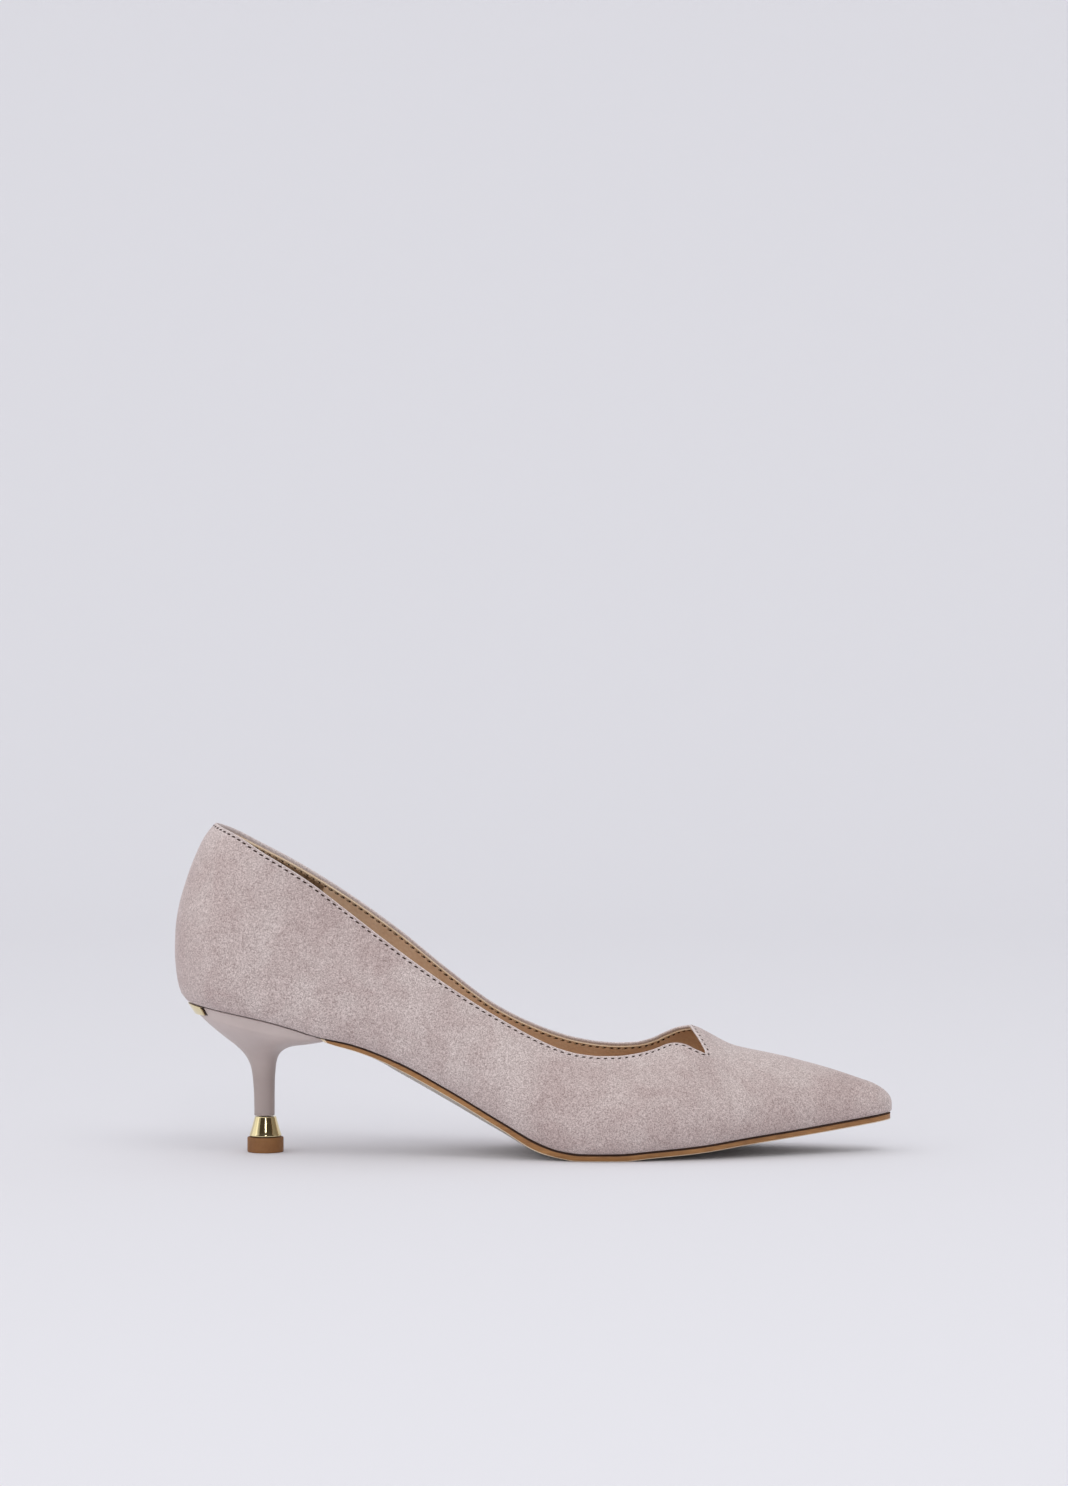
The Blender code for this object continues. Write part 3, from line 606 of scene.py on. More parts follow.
def under_edge(s, outer_side, points):
    """Rows from the end of the turned margin out to the rounded turn."""
    width = np.interp(place(s)[0], MARGIN_TAPER, (MARGIN_WIDTH, TOE_MARGIN_WIDTH))
    corner = last_point(s, np.full(len(s), 0.0 if outer_side else 1.0))
    start = margin_at(s, outer_side, FEATHER_ROUND, 0.0)
    rows = [margin_at(s, outer_side, width, z) for z in (SUEDE_MARGIN, 0.0)] + [start]
    for t in TURN_SHARES:
        rows.append(start * (1 - t) ** 2 + corner * 2 * t * (1 - t) + points[:, 0] * t * t)
    return np.stack(rows, axis=1)


def hidden_margin(s, outer_side, _):
    """One row, at the end of the turned margin."""
    width = np.interp(place(s)[0], MARGIN_TAPER, (MARGIN_WIDTH, TOE_MARGIN_WIDTH))
    return margin_at(s, outer_side, width, SUEDE_MARGIN)[:, None]


def build_suede(material, fold_painted_light):
    surface = Surface()
    for side in body_columns():
        add_body(surface, side, OUTSIDE, 0.0, keep_clear=FEATHER_ROUND, below=under_edge)
        add_body(surface, side, SUEDE_DEPTH, SUEDE_MARGIN, rows=INSIDE_ROWS, below=hidden_margin)
    outside = strip_points(STRIP_ROWS, OUTSIDE, 0.0, *OUTSIDE_VALLEY)
    inside = strip_points(FOLD_ROWS, SUEDE_DEPTH, SUEDE_MARGIN)
    roll = roll_points(outside[:, -1], inside[:, 0], EDGE_START, ROLL_STEPS)
    strip = np.concatenate([outside, roll, inside], axis=1)
    fold_faces = strip.shape[1] - len(STRIP_ROWS)
    # The roll over the crown and the inside of the fold take the lighter suede: painted light, a
    # highlight along the fold and a lit inner strip
    surface.grid(strip, [0] * (len(STRIP_ROWS) - 1) + [1] * fold_faces)
    return surface.piece("suede_upper", [material, fold_painted_light], sharp_angle=60.0)


def build_lining(leather, raw_edge):
    surface = Surface()
    for side in body_columns():
        s, _, q_low = side
        add_body(surface, side, UPPER_WALL, LINING_FLOOR)
        add_body(surface, side, LINING_BACK, LINING_FLOOR, rows=INSIDE_ROWS)
        bottom = [last_point(s, q_low, wall, LINING_FLOOR) for wall in (UPPER_WALL, LINING_BACK)]
        surface.grid(np.stack(bottom, axis=1))
    face = strip_points(LINING_ROWS, UPPER_WALL, LINING_FLOOR, *LINING_VALLEY)
    crown = strip_points((LINING_TOP - 0.1,), (UPPER_WALL + LINING_BACK) / 2, LINING_FLOOR)
    back = strip_points(LINING_BACK_ROWS, LINING_BACK, LINING_FLOOR)
    strip = np.concatenate([face, crown, back], axis=1)
    face_rows = len(LINING_ROWS) - 2
    surface.grid(strip, [0] * face_rows + [1] * 2 + [0] * (strip.shape[1] - face_rows - 3))
    return surface.piece("lining", [leather, raw_edge], sharp_angle=40.0)


GRIP_FRONT_X = -78.0
GRIP_TOP = 2.0
GRIP_WALL = 2.05
GRIP_BACK = UPPER_WALL + 0.02
GRIP_CLEAR = 5.0
GRIP_ROWS = 24


def build_heel_grip(material):
    """Soft patch that holds the heel, glued inside the back of the lining."""
    surface = Surface()
    top_s, top_q = strip_places(GRIP_TOP)
    half = len(top_s) // 2
    thick = np.ones((1, GRIP_ROWS, 1))
    thick[:, [0, -1]] = 0.5
    for low_q, picks in ((0.0, np.arange(half)), (1.0, np.arange(len(top_s))[::-1][:half])):
        picks = picks[place(top_s[picks])[0] < GRIP_FRONT_X]
        s = top_s[picks]
        q = even_rows(s, top_q[picks], low_q, GRIP_CLEAR, GRIP_ROWS)
        face = last_point(s[:, None], q, GRIP_WALL, SUEDE_MARGIN)
        edge = last_point(s[:, None], q, GRIP_BACK, SUEDE_MARGIN)
        face = edge + (face - edge) * thick
        surface.grid(np.concatenate([face, edge[:, ::-1]], axis=1), closed=True)
        surface.grid(np.stack([face[-1], edge[-1]], axis=1))
    return surface.piece("heel_grip", [material], sharp_angle=50.0)


# Edge of the sock: height and inset
SOCK_EDGE = ((0.0, 0.0), (0.7, 0.0), (1.3, 0.0), (1.65, 0.1), (1.85, 0.3), (1.95, 0.6), (2.0, 1.1))
SOCK_CROWN = 0.35
SOCK_STATIONS = (19, 110, 11)             # at the heel, along the shoe and at the toe
SOCK_REACH = 0.12                         # share of the last's section that the sock's edge meets
SOCK_EDGE_SAMPLES = 60
SOCK_COLUMNS = 13


def build_sock(material):
    """Leather sock over the board, edge rolled down against the lining."""
    surface = Surface()
    wall = UPPER_WALL + GAP
    heel, side, toe = SOCK_STATIONS
    stations = np.concatenate([
        np.linspace(-1.0, 0.0, heel)[:-1],
        station(np.linspace(HEEL_ARC_X, TOE_ARC_X, side)),
        np.linspace(1.0, 2.0, toe)[1:],
    ])
    heights, insets = np.array(SOCK_EDGE).T
    share = np.linspace(0.0, 1.0, SOCK_COLUMNS)[1:-1, None]
    rings = []
    for s in stations:
        rounding = float(place(s)[1])
        edges = []
        for start, end in ((0.0, SOCK_REACH), (1.0, 1.0 - SOCK_REACH)):
            q = np.linspace(start, end, SOCK_EDGE_SAMPLES)
            points = last_point(s, q, wall, INSOLE_FLOOR)
            z = points[0, 2] + heights * INSOLE_THICK / heights[-1]
            x = np.interp(z, points[:, 2], points[:, 0])
            y = np.interp(z, points[:, 2], points[:, 1])
            edges.append(np.stack([x, y, z], axis=1))
        outer, inner = edges
        half = np.maximum((inner[:, 1] - outer[:, 1]) / 2 - 0.01, 0.0)
        shift = np.minimum(insets * min(1.0, rounding * 2), half)
        outer[:, 1] += shift
        inner[:, 1] -= shift
        top = outer[-1] * (1 - share) + inner[-1] * share
        top[:, 2] += SOCK_CROWN * rounding * np.sin(np.pi * share[:, 0])
        under = inner[0] * (1 - share) + outer[0] * share
        rings.append(np.concatenate([outer, top, inner[::-1], under]))
    surface.grid(np.array(rings), closed=True)
    return surface.piece("sock", [material], sharp_angle=50.0)


# Side of the sole: share of the way down, and inset
SOLE_SIDE = (
    (0.0, 0.35), (0.2, 0.06), (0.35, 0.0), (0.55, 0.0), (0.75, 0.02), (0.88, 0.07), (1.0, 0.34),
)
SOLE_FULL_ROUND = 1.5         # thinner than this, the insets shrink too
TREAD_SHARES = np.linspace(-1.0, 1.0, 25)
SOLE_END_SLANT = 1.6
SOLE_END_REACH = 6.0
SOLE_STATIONS = 120
SOLE_TOE_STATIONS = 15


def build_outsole(edge_leather, tread_leather, raw_end, painted_rim_shade):
    """Thin leather sole: a rim of painted shade at the top where the upper meets it, dressed brown
    edge, bevelled into a pale tread.
    """
    surface = Surface()
    side_x = np.linspace(HEEL_FRONT_X + GAP, TOE_ARC_X, SOLE_STATIONS)
    stations = np.concatenate([station(side_x), np.linspace(1.0, 2.0, SOLE_TOE_STATIONS)[1:]])
    first_x = float(place(stations[0], SOLE_EDGE_INSET, SOLE_EDGE_INSET)[0])
    rings = []
    for s in stations:
        x0, rounding = place(s, SOLE_EDGE_INSET, SOLE_EDGE_INSET)
        slant = SOLE_END_SLANT * max(0.0, 1.0 - (x0 - first_x) / SOLE_END_REACH)
        outer = PLAN["outer"](x0) - SOLE_EDGE_INSET
        inner = PLAN["inner"](x0) - SOLE_EDGE_INSET
        middle, half = (inner - outer) / 2, (inner + outer) / 2 * rounding
        edge_z, belly = TREAD["z"](x0), TREAD["belly"](x0)
        top_z = FEATHER["z"](x0) - GAP
        thick = top_z - edge_z
        size = min(1.0, thick / SOLE_FULL_ROUND)
        side = []
        for down, inset in SOLE_SIDE:
            reach = max(half - (SOLE_UNDERCUT * down + inset * size), 0.0)
            side.append((x0 + slant * down, reach, top_z - thick * down))
        ring = [(x, middle - reach, z) for x, reach, z in side]
        tread_half = side[-1][1]
        for share in TREAD_SHARES[1:-1]:
            z = edge_z - belly * (1 - share * share)
            ring.append((x0 + slant, middle + share * tread_half, z))
        ring += [(x, middle + reach, z) for x, reach, z in side[::-1]]
        ring.append((x0, middle, top_z))
        rings.append(ring)
    rings = np.array(rings, float)
    # Kind 3, the top band of the side, is the rim of painted shade under the upper
    side_kinds = [3] + [0] * (len(SOLE_SIDE) - 3) + [2]
    kinds = side_kinds + [1] * (len(TREAD_SHARES) - 1) + side_kinds[::-1] + [0, 0]
    surface.grid(rings[:2], 2, closed=True)
    surface.grid(rings[1:], kinds, closed=True)
    surface.cap(rings[0], 2)
    leathers = [edge_leather, tread_leather, raw_end, painted_rim_shade]
    return surface.piece("outsole_dressed", leathers, sharp_angle=50.0)


HEEL_SIDES = 96
STEM_RINGS = 9
STEM_TOP_Z = 26.0
FLARE_RINGS = 40
SEAT_COLUMNS = 7
HEEL_SEAT_SQUARENESS = 9.0
HEEL_SQUARE_BLEND = 10.0      # length over which the rings below the seat turn square
HEEL_SQUARE_EARLY = 0.4       # below 1, they turn square early on the way up
HEEL_LIP = ((0.15, 0.4), (0.35, 0.85), (0.5, 1.0), (0.65, 0.85), (0.85, 0.4))
HEEL_LIP_REACH = 3.2
HEEL_LIP_START_X = -84.0
HEEL_LIP_BLEND = 5.0
HEEL_LIP_END_X = -74.6
HEEL_EDGE = 0.25
HEEL_FOOT_SHARE = 0.93


def heel_ring(back_z, back_x, front_x, front_z, half_width, squareness):
    """Ring of the heel: round at the back, squarer at the front, tilted from back to front."""
    widths = (STEM_HALF_WIDTH, HEEL_TOP_HALF_WIDTH)
    centre_x = np.interp(half_width, widths, (STEM_CENTRE_X, HEEL_ARC_X))
    angle = 2 * np.pi * np.arange(HEEL_SIDES) / HEEL_SIDES
    square = np.where(np.cos(angle) > 0.0, squareness, 2.0)
    radius = (abs(np.cos(angle)) ** square + abs(np.sin(angle)) ** square) ** (-1 / square)
    along = radius * np.cos(angle)
    across = radius * np.sin(angle)
    x = centre_x + np.where(along > 0, front_x - centre_x, centre_x - back_x) * along
    share = (x - back_x) / (front_x - back_x)
    return np.stack([x, -half_width * across, back_z + share * (front_z - back_z)], axis=1)


def build_heel(material):
    """Slim covered stem that flares into the seat, with a thin lip at the front."""
    surface = Surface()
    stem = np.linspace(HEEL_BOTTOM_Z, STEM_TOP_Z, STEM_RINGS)
    flare = np.linspace(STEM_TOP_Z, HEEL_FLARE_TOP_Z, FLARE_RINGS)[1:]
    rings = []
    for z in np.concatenate([stem, flare]):
        rings.append(heel_ring(z, *(HEEL_LEVELS[name](z) for name in HEEL_LEVELS)))
    top = heel_ring(
        0.0, HEEL_TOP_BACK_X, HEEL_FRONT_X, 0.0, HEEL_TOP_HALF_WIDTH, HEEL_SEAT_SQUARENESS)
    top[:, 2] = FEATHER["z"](top[:, 0]) - GAP
    last = rings[-1]
    for share, lip_share in HEEL_LIP:
        ring = last * (1 - share) + top * share
        front_half = np.clip((top[:, :1] - HEEL_ARC_X) / HEEL_SQUARE_BLEND, 0.0, 1.0)
        ring[:, :2] += (top[:, :2] - last[:, :2]) * front_half * (share ** HEEL_SQUARE_EARLY - share)
        at_front = np.clip((ring[:, 0] - HEEL_LIP_START_X) / HEEL_LIP_BLEND, 0.0, 1.0)
        limit = HEEL_LIP_END_X - SOLE_END_SLANT * max(share - 0.5, 0.0)
        ring[:, 0] = np.minimum(ring[:, 0] + HEEL_LIP_REACH * lip_share * at_front, limit)
        rings.append(ring)
    rings.append(top - (0.0, 0.0, HEEL_EDGE))
    middle = np.array([(HEEL_ARC_X * 2 + HEEL_FRONT_X) / 3, 0.0, 0.0])
    rings.append(top + unit((middle - top) * (1.0, 1.0, 0.0)) * HEEL_EDGE)
    foot = rings[0]
    centre = foot.mean(axis=0)
    rings[:1] = [centre + (foot - centre) * HEEL_FOOT_SHARE, foot + (0.0, 0.0, HEEL_EDGE)]
    surface.bands(rings)
    surface.cap(rings[0])
    seat = rings[-1]
    half = HEEL_SIDES // 2
    near = seat[:half + 1]
    far = seat[np.concatenate([[0], np.arange(HEEL_SIDES - 1, half - 1, -1)])]
    share = np.linspace(0.0, 1.0, SEAT_COLUMNS)[None, :, None]
    seat_grid = near[:, None] * (1 - share) + far[:, None] * share
    seat_grid[:, 1:-1, 2] = FEATHER["z"](seat_grid[:, 1:-1, 0]) - GAP
    surface.grid(seat_grid)
    return surface.piece("heel_covered", [material], sharp_angle=50.0)


def build_turned(name, profile, material):
    """Round piece on the heel's axis."""
    surface = Surface()
    angle = 2 * np.pi * np.arange(HEEL_SIDES) / HEEL_SIDES
    rings = [
        np.stack([TIP_CENTRE_X + r * np.cos(angle), r * np.sin(angle), z + 0 * angle], axis=1)
        for r, z in profile
    ]
    surface.bands(rings)
    surface.cap(rings[0])
    surface.cap(rings[-1])
    return surface.piece(name, [material], sharp_angle=35.0)


# Profiles of radius and height, bottom first
COLLAR_PROFILE = (
    (5.35, 5.72), (5.6, 5.74), (5.75, 5.86), (5.79, 6.02), (5.78, 6.2), (5.62, 6.55),
    (5.2, 7.75), (4.7, 9.45), (4.25, 11.1), (3.93, 12.3), (3.85, 12.62), (3.72, 12.77),
    (3.5, 12.8),
)
TOP_PIECE_PROFILE = (
    (6.0, 0.0), (6.28, 0.03), (6.44, 0.16), (6.5, 0.4), (6.5, 1.5), (6.5, 2.7), (6.5, 3.9),
    (6.5, 5.0), (6.45, 5.26), (6.3, 5.37), (6.1, 5.4),
)
PLATE_THICK = 0.9
PLATE_GAP = 0.36
PLATE_HALF_ANGLE = 36.0
PLATE_BOTTOM_Z = 49.9
PLATE_ROUND = 0.22
PLATE_BEVEL = 0.3             # share of the round that its middle corner keeps
PLATE_COLUMNS = 41


def plate_point(angle, drop, offset):
    """Point at an angle round the back of the heel, drop below its top, offset outwards."""
    back_x, front_x, front_z, half_width = (
        HEEL_LEVELS[name](HEEL_FLARE_TOP_Z) for name in ("back_x", "front_x", "front_z", "half_width"))
    reach_top, reach_low = HEEL_ARC_X - HEEL_TOP_BACK_X, HEEL_ARC_X - back_x
    top_z = FEATHER["z"](HEEL_ARC_X - reach_top * np.cos(angle)) - GAP
    low_x = HEEL_ARC_X - reach_low * np.cos(angle)
    low_z = HEEL_FLARE_TOP_Z + (low_x - back_x) / (front_x - back_x) * (front_z - HEEL_FLARE_TOP_Z)
    share = drop / (top_z - low_z)
    reach = reach_top + (reach_low - reach_top) * share
    wide = HEEL_TOP_HALF_WIDTH + (half_width - HEEL_TOP_HALF_WIDTH) * share
    normal = unit(np.array([-np.cos(angle) / reach, -np.sin(angle) / wide])) * offset
    x = HEEL_ARC_X - reach * np.cos(angle) + normal[0]
    return np.array([x, -wide * np.sin(angle) + normal[1], top_z - drop])


def build_back_plate(material):
    """Thin polished plate round the back of the heel, under the suede."""
    surface = Surface()
    edge = np.radians(PLATE_HALF_ANGLE)
    rings = []
    for angle in np.linspace(-edge, edge, PLATE_COLUMNS):
        drop = float(plate_point(angle, 0.0, PLATE_GAP)[2] - PLATE_BOTTOM_Z)
        near, far, r = PLATE_GAP, PLATE_GAP + PLATE_THICK, PLATE_ROUND
        corner = r * PLATE_BEVEL
        profile = (
            (0.0, near), (drop, near), (drop, far - r), (drop - corner, far - corner),
            (drop - r, far), (r, far), (corner, far - corner), (0.0, far - r),
        )
        rings.append([plate_point(angle, fall, offset) for fall, offset in profile])
    surface.tube(rings)
    return surface.piece("back_plate_polished", [material], sharp_angle=30.0)


PLATE_GAP_ANGLE = (0.008, 0.026)
PLATE_GAP_SECTION = ((0, -0.1), (1, -0.1), (1, 0.16), (0, 0.3))
PLATE_GAP_RINGS = 9


def build_plate_shadow_gap(material):
    """Dark sheet of painted shadow in the gap between each end of the plate and the heel's cover."""
    surface = Surface()
    for side in (-1.0, 1.0):
        rings = []
        for share in np.linspace(0.0, 1.0, PLATE_GAP_RINGS):
            ring = []
            for beyond, offset in PLATE_GAP_SECTION:
                angle = side * (np.radians(PLATE_HALF_ANGLE) + PLATE_GAP_ANGLE[beyond])
                drop = share * float(plate_point(angle, 0.0, PLATE_GAP)[2] - PLATE_BOTTOM_Z)
                ring.append(plate_point(angle, drop, offset))
            rings.append(ring)
        surface.tube(rings)
    return surface.piece("back_plate_gap_painted_shadow", [material], sharp_angle=30.0)


# Nodes
def fill(tree, node, inputs):
    """Link each input that is given another node's output, and set the others.

    A colour is given as red, green and blue.
    """
    for key, value in inputs.items():
        socket = node.inputs[key]
        if isinstance(value, bpy.types.NodeSocket):
            tree.links.new(value, socket)
        elif socket.type == "RGBA":
            socket.default_value = (*value, 1.0)
        else:
            socket.default_value = value


def add_node(tree, kind, inputs=None, **settings):
    node = tree.nodes.new(kind)
    for key, value in settings.items():
        setattr(node, key, value)
    fill(tree, node, inputs or {})
    return node


def made(tree, kind, inputs=None, **settings):
    """First output of a new node."""
    return add_node(tree, kind, inputs, **settings).outputs[0]


def mix_colours(tree, share, first, second, blend="MIX"):
    inputs = {0: share, 6: first, 7: second}
    return add_node(tree, "ShaderNodeMix", inputs, data_type="RGBA", blend_type=blend).outputs[2]


def fit_range(tree, value, low, high, to_low=0.0, to_high=1.0):
    return made(tree, "ShaderNodeMapRange", {0: value, 1: low, 2: high, 3: to_low, 4: to_high})


def multiply(tree, first, second):
    return made(tree, "ShaderNodeMath", {0: first, 1: second}, operation="MULTIPLY")


def noise(tree, vector, scale, detail=2.0, roughness=0.5, distortion=0.0):
    return made(tree, "ShaderNodeTexNoise", {
        "Vector": vector, "Scale": scale, "Detail": detail, "Roughness": roughness,
        "Distortion": distortion,
    })


def bump(tree, height, strength, distance):
    return made(tree, "ShaderNodeBump", {"Height": height, "Strength": strength, "Distance": distance})


# Stitches, and dark domes of painted shade in their needle holes
STITCH_PITCH = 2.6
STITCH_SEGMENTS = 8
STITCH_RINGS = 6
PAST_LINE_END = 10.0          # in metres, so that a row is trimmed at its start alone


def stitch_tree():
    """Nodes that lay one small domed shape at each step along a guide line."""
    tree = bpy.data.node_groups.new("stitch_row", "GeometryNodeTree")
    face = tree.interface
    face.new_socket("Guide", in_out="INPUT", socket_type="NodeSocketGeometry")
    for name in ("Pitch", "Start", "Length", "Width", "Height", "Slant"):
        face.new_socket(name, in_out="INPUT", socket_type="NodeSocketFloat")
    face.new_socket("Finish", in_out="INPUT", socket_type="NodeSocketMaterial")
    face.new_socket("Stitches", in_out="OUTPUT", socket_type="NodeSocketGeometry")
    given = add_node(tree, "NodeGroupInput").outputs
    line = made(tree, "GeometryNodeMeshToCurve", {"Mesh": given["Guide"]})
    ends = {"Curve": line, 4: given["Start"], 5: PAST_LINE_END}
    trim = made(tree, "GeometryNodeTrimCurve", ends, mode="LENGTH")
    pitch = {"Curve": trim, "Length": given["Pitch"]}
    steps = made(tree, "GeometryNodeResampleCurve", pitch, mode="LENGTH")
    round_shape = {"Segments": STITCH_SEGMENTS, "Rings": STITCH_RINGS, "Radius": 0.5}
    dome = made(tree, "GeometryNodeMeshUVSphere", round_shape)
    sides = {"X": given["Length"], "Y": given["Width"], "Z": given["Height"]}
    stretch = made(tree, "ShaderNodeCombineXYZ", sides)
    turn = made(tree, "ShaderNodeCombineXYZ", {"Z": given["Slant"]})
    shape = made(tree, "GeometryNodeTransform", {"Geometry": dome, "Scale": stretch})
    slanted = made(tree, "GeometryNodeTransform", {"Geometry": shape, "Rotation": turn})
    tangent = made(tree, "GeometryNodeInputTangent")
    facing = add_node(
        tree, "GeometryNodeInputNamedAttribute", {"Name": "facing"}, data_type="FLOAT_VECTOR")
    upward = {"Vector": facing.outputs["Attribute"]}
    first = made(tree, "FunctionNodeAlignRotationToVector", upward, axis="Z")
    onward = {"Rotation": first, "Vector": tangent}
    second = made(tree, "FunctionNodeAlignRotationToVector", onward, axis="X", pivot_axis="Z")
    laid = {"Points": steps, "Instance": slanted, "Rotation": second}
    lay = made(tree, "GeometryNodeInstanceOnPoints", laid)
    real = made(tree, "GeometryNodeRealizeInstances", {"Geometry": lay})
    smooth = made(tree, "GeometryNodeSetShadeSmooth", {"Geometry": real})
    finish = {"Geometry": smooth, "Material": given["Finish"]}
    painted = made(tree, "GeometryNodeSetMaterial", finish)
    add_node(tree, "NodeGroupOutput", {"Stitches": painted})
    return tree


def stitch_row(name, tree, places, normals, sizes, finish, slot):
    """Lay one row along a line of points on the shoe; sizes are the tree's inputs."""
    guide = bpy.data.meshes.new(name + "_guide")
    edges = [(k, k + 1) for k in range(len(places) - 1)]
    guide.from_pydata((places * MM).tolist(), edges, [])
    facing = guide.attributes.new("facing", "FLOAT_VECTOR", "POINT")
    facing.data.foreach_set("vector", normals.astype(np.float32).ravel())
    carrier = add_object(name + "_guide", guide)
    modifier = carrier.modifiers.new("row", "NODES")
    modifier.node_group = tree
    items = tree.interface.items_tree
    sockets = {item.name: item.identifier for item in items if item.in_out == "INPUT"}
    for key, value in sizes.items():
        modifier[sockets[key]] = value * (1.0 if key == "Slant" else MM)
    modifier[sockets["Finish"]] = finish
    bpy.context.view_layer.update()
    evaluated = carrier.evaluated_get(bpy.context.evaluated_depsgraph_get())
    mesh = bpy.data.meshes.new_from_object(evaluated)
    mesh.name = name
    bpy.data.objects.remove(carrier)
    return settle(add_object(name, mesh), slot)


# Patterns
NAP_SHARES = (0.72, 0.28)     # of the fine and the coarse tufts
MIDDLE = (0.3, 0.7)           # ranges of a noise that are spread over 0 to 1
NARROW = (0.35, 0.65)
TUFT_RANGE = (0.38, 0.62)
PATCH_RANGE = (0.4, 0.62)
PEBBLE_RANGE = (0.15, 0.75)


def pattern_group(name, inputs, outputs):
    """Node group with a vector input, number inputs and number outputs."""
    tree = bpy.data.node_groups.new(name, "ShaderNodeTree")
    tree.interface.new_socket("Vector", in_out="INPUT", socket_type="NodeSocketVector")
    for way, names in (("INPUT", inputs), ("OUTPUT", outputs)):
        for key in names:
            tree.interface.new_socket(key, in_out=way, socket_type="NodeSocketFloat")
    return tree, add_node(tree, "NodeGroupInput").outputs


def nap_group():
    """Brushed nap: fine tufts, and patches where the nap lies another way."""
    tree, given = pattern_group(
        "brushed_nap", ("Tuft Scale", "Patch Scale"), ("Tufts", "Patches", "Clouds", "Height"))
    where, tuft_scale, patch_scale = (given[key] for key in ("Vector", "Tuft Scale", "Patch Scale"))
    tufts = noise(tree, where, tuft_scale, detail=3.0, roughness=0.65, distortion=0.3)
    half_scale = multiply(tree, tuft_scale, 0.5)
    coarse = noise(tree, where, half_scale, roughness=0.6, distortion=0.5)
    height = made(tree, "ShaderNodeMath", {
        0: multiply(tree, tufts, NAP_SHARES[0]), 1: multiply(tree, coarse, NAP_SHARES[1]),
    }, operation="ADD")
    patches = noise(tree, where, patch_scale, detail=3.0, roughness=0.55, distortion=0.8)
    clouds = noise(tree, where, multiply(tree, patch_scale, 0.4), distortion=0.6)
    add_node(tree, "NodeGroupOutput", {
        "Tufts": fit_range(tree, height, *TUFT_RANGE),
        "Patches": fit_range(tree, patches, *PATCH_RANGE),
        "Clouds": fit_range(tree, clouds, *PATCH_RANGE),
        "Height": height,
    })
    return tree


def grain_group():
    """Fine pebbled leather grain with a slow change of tone."""
    tree, given = pattern_group("leather_grain", ("Grain Scale", "Tone Scale"), ("Grain", "Tone"))
    cells = add_node(tree, "ShaderNodeTexVoronoi", {
        "Vector": given["Vector"], "Scale": given["Grain Scale"], "Randomness": 1.0, "Smoothness": 0.6,
    }, feature="SMOOTH_F1")
    tone = noise(
        tree, given["Vector"], given["Tone Scale"], detail=3.0, roughness=0.6, distortion=0.4)
    add_node(tree, "NodeGroupOutput", {
        "Grain": fit_range(tree, cells.outputs["Distance"], *PEBBLE_RANGE),
        "Tone": fit_range(tree, tone, *NARROW),
    })
    return tree


NAP = nap_group()
GRAIN = grain_group()

# Finishes: each returns what goes into the shader's inputs
NAP_DEPTH = 0.00022           # depths of a bump are in metres
GRAIN_DEPTH = 0.00006
PATCH_SHADE = 0.6
SHEEN_TINT = (1.0, 0.93, 0.92)
ROUGHNESS_SPREAD = 0.06
CREASE_SHADE = 0.25
STEM_SHADE_HEIGHTS = (0.042, 0.026)       # where the painted shade on the stem starts and where it is darkest
STEM_SHADE = 0.75


def suede_finish(tree, where, dark, light, patch_dark, tuft_scale=2400.0, patch_scale=75.0):
    inputs = {"Vector": where, "Tuft Scale": tuft_scale, "Patch Scale": patch_scale}
    nap = add_node(tree, "ShaderNodeGroup", inputs, node_tree=NAP).outputs
    colour = mix_colours(tree, nap["Tufts"], dark, light)
    for name in ("Patches", "Clouds"):
        shade = fit_range(tree, nap[name], 0.0, 1.0, 0.0, PATCH_SHADE)
        colour = mix_colours(tree, shade, colour, patch_dark, "MULTIPLY")
    return {
        "Base Color": colour, "Normal": bump(tree, nap["Height"], 0.7, NAP_DEPTH),
        "Roughness": 0.95, "Specular IOR Level": 0.1,
        "Sheen Weight": 0.35, "Sheen Roughness": 0.45, "Sheen Tint": SHEEN_TINT,
    }


def leather_finish(tree, where, dark, light, roughness, grain_scale=900.0):
    inputs = {"Vector": where, "Grain Scale": grain_scale, "Tone Scale": 55.0}
    grain = add_node(tree, "ShaderNodeGroup", inputs, node_tree=GRAIN).outputs
    base = mix_colours(tree, grain["Tone"], dark, light)
    crease = fit_range(tree, grain["Grain"], 0.0, 1.0, 0.0, CREASE_SHADE)
    least, most = roughness - ROUGHNESS_SPREAD, roughness + ROUGHNESS_SPREAD
    height = made(tree, "ShaderNodeMath", {0: 1.0, 1: grain["Grain"]}, operation="SUBTRACT")
    return {
        "Base Color": mix_colours(tree, crease, base, dark, "MULTIPLY"),
        "Roughness": fit_range(tree, grain["Tone"], 0.0, 1.0, least, most),
        "Normal": bump(tree, height, 0.5, GRAIN_DEPTH),
    }


def sole_edge_finish(tree, where):
    """Pressed and waxed leather edge: fine streaks along the sole."""
    long_way = made(tree, "ShaderNodeMapping", {"Vector": where, "Scale": (0.06, 0.2, 1.0)})
    streaks = noise(tree, long_way, 2600.0, detail=3.0, roughness=0.6)
    tone = fit_range(tree, noise(tree, where, 45.0, detail=3.0, roughness=0.6), *NARROW)
    base = mix_colours(tree, tone, (0.36, 0.165, 0.05), (0.50, 0.25, 0.085))
    lines = fit_range(tree, streaks, *NARROW, 0.0, 0.6)
    return {
        "Base Color": mix_colours(tree, lines, base, (0.5, 0.42, 0.36), "MULTIPLY"),
        "Normal": bump(tree, streaks, 0.4, 0.00008),
        "Roughness": 0.42,
    }


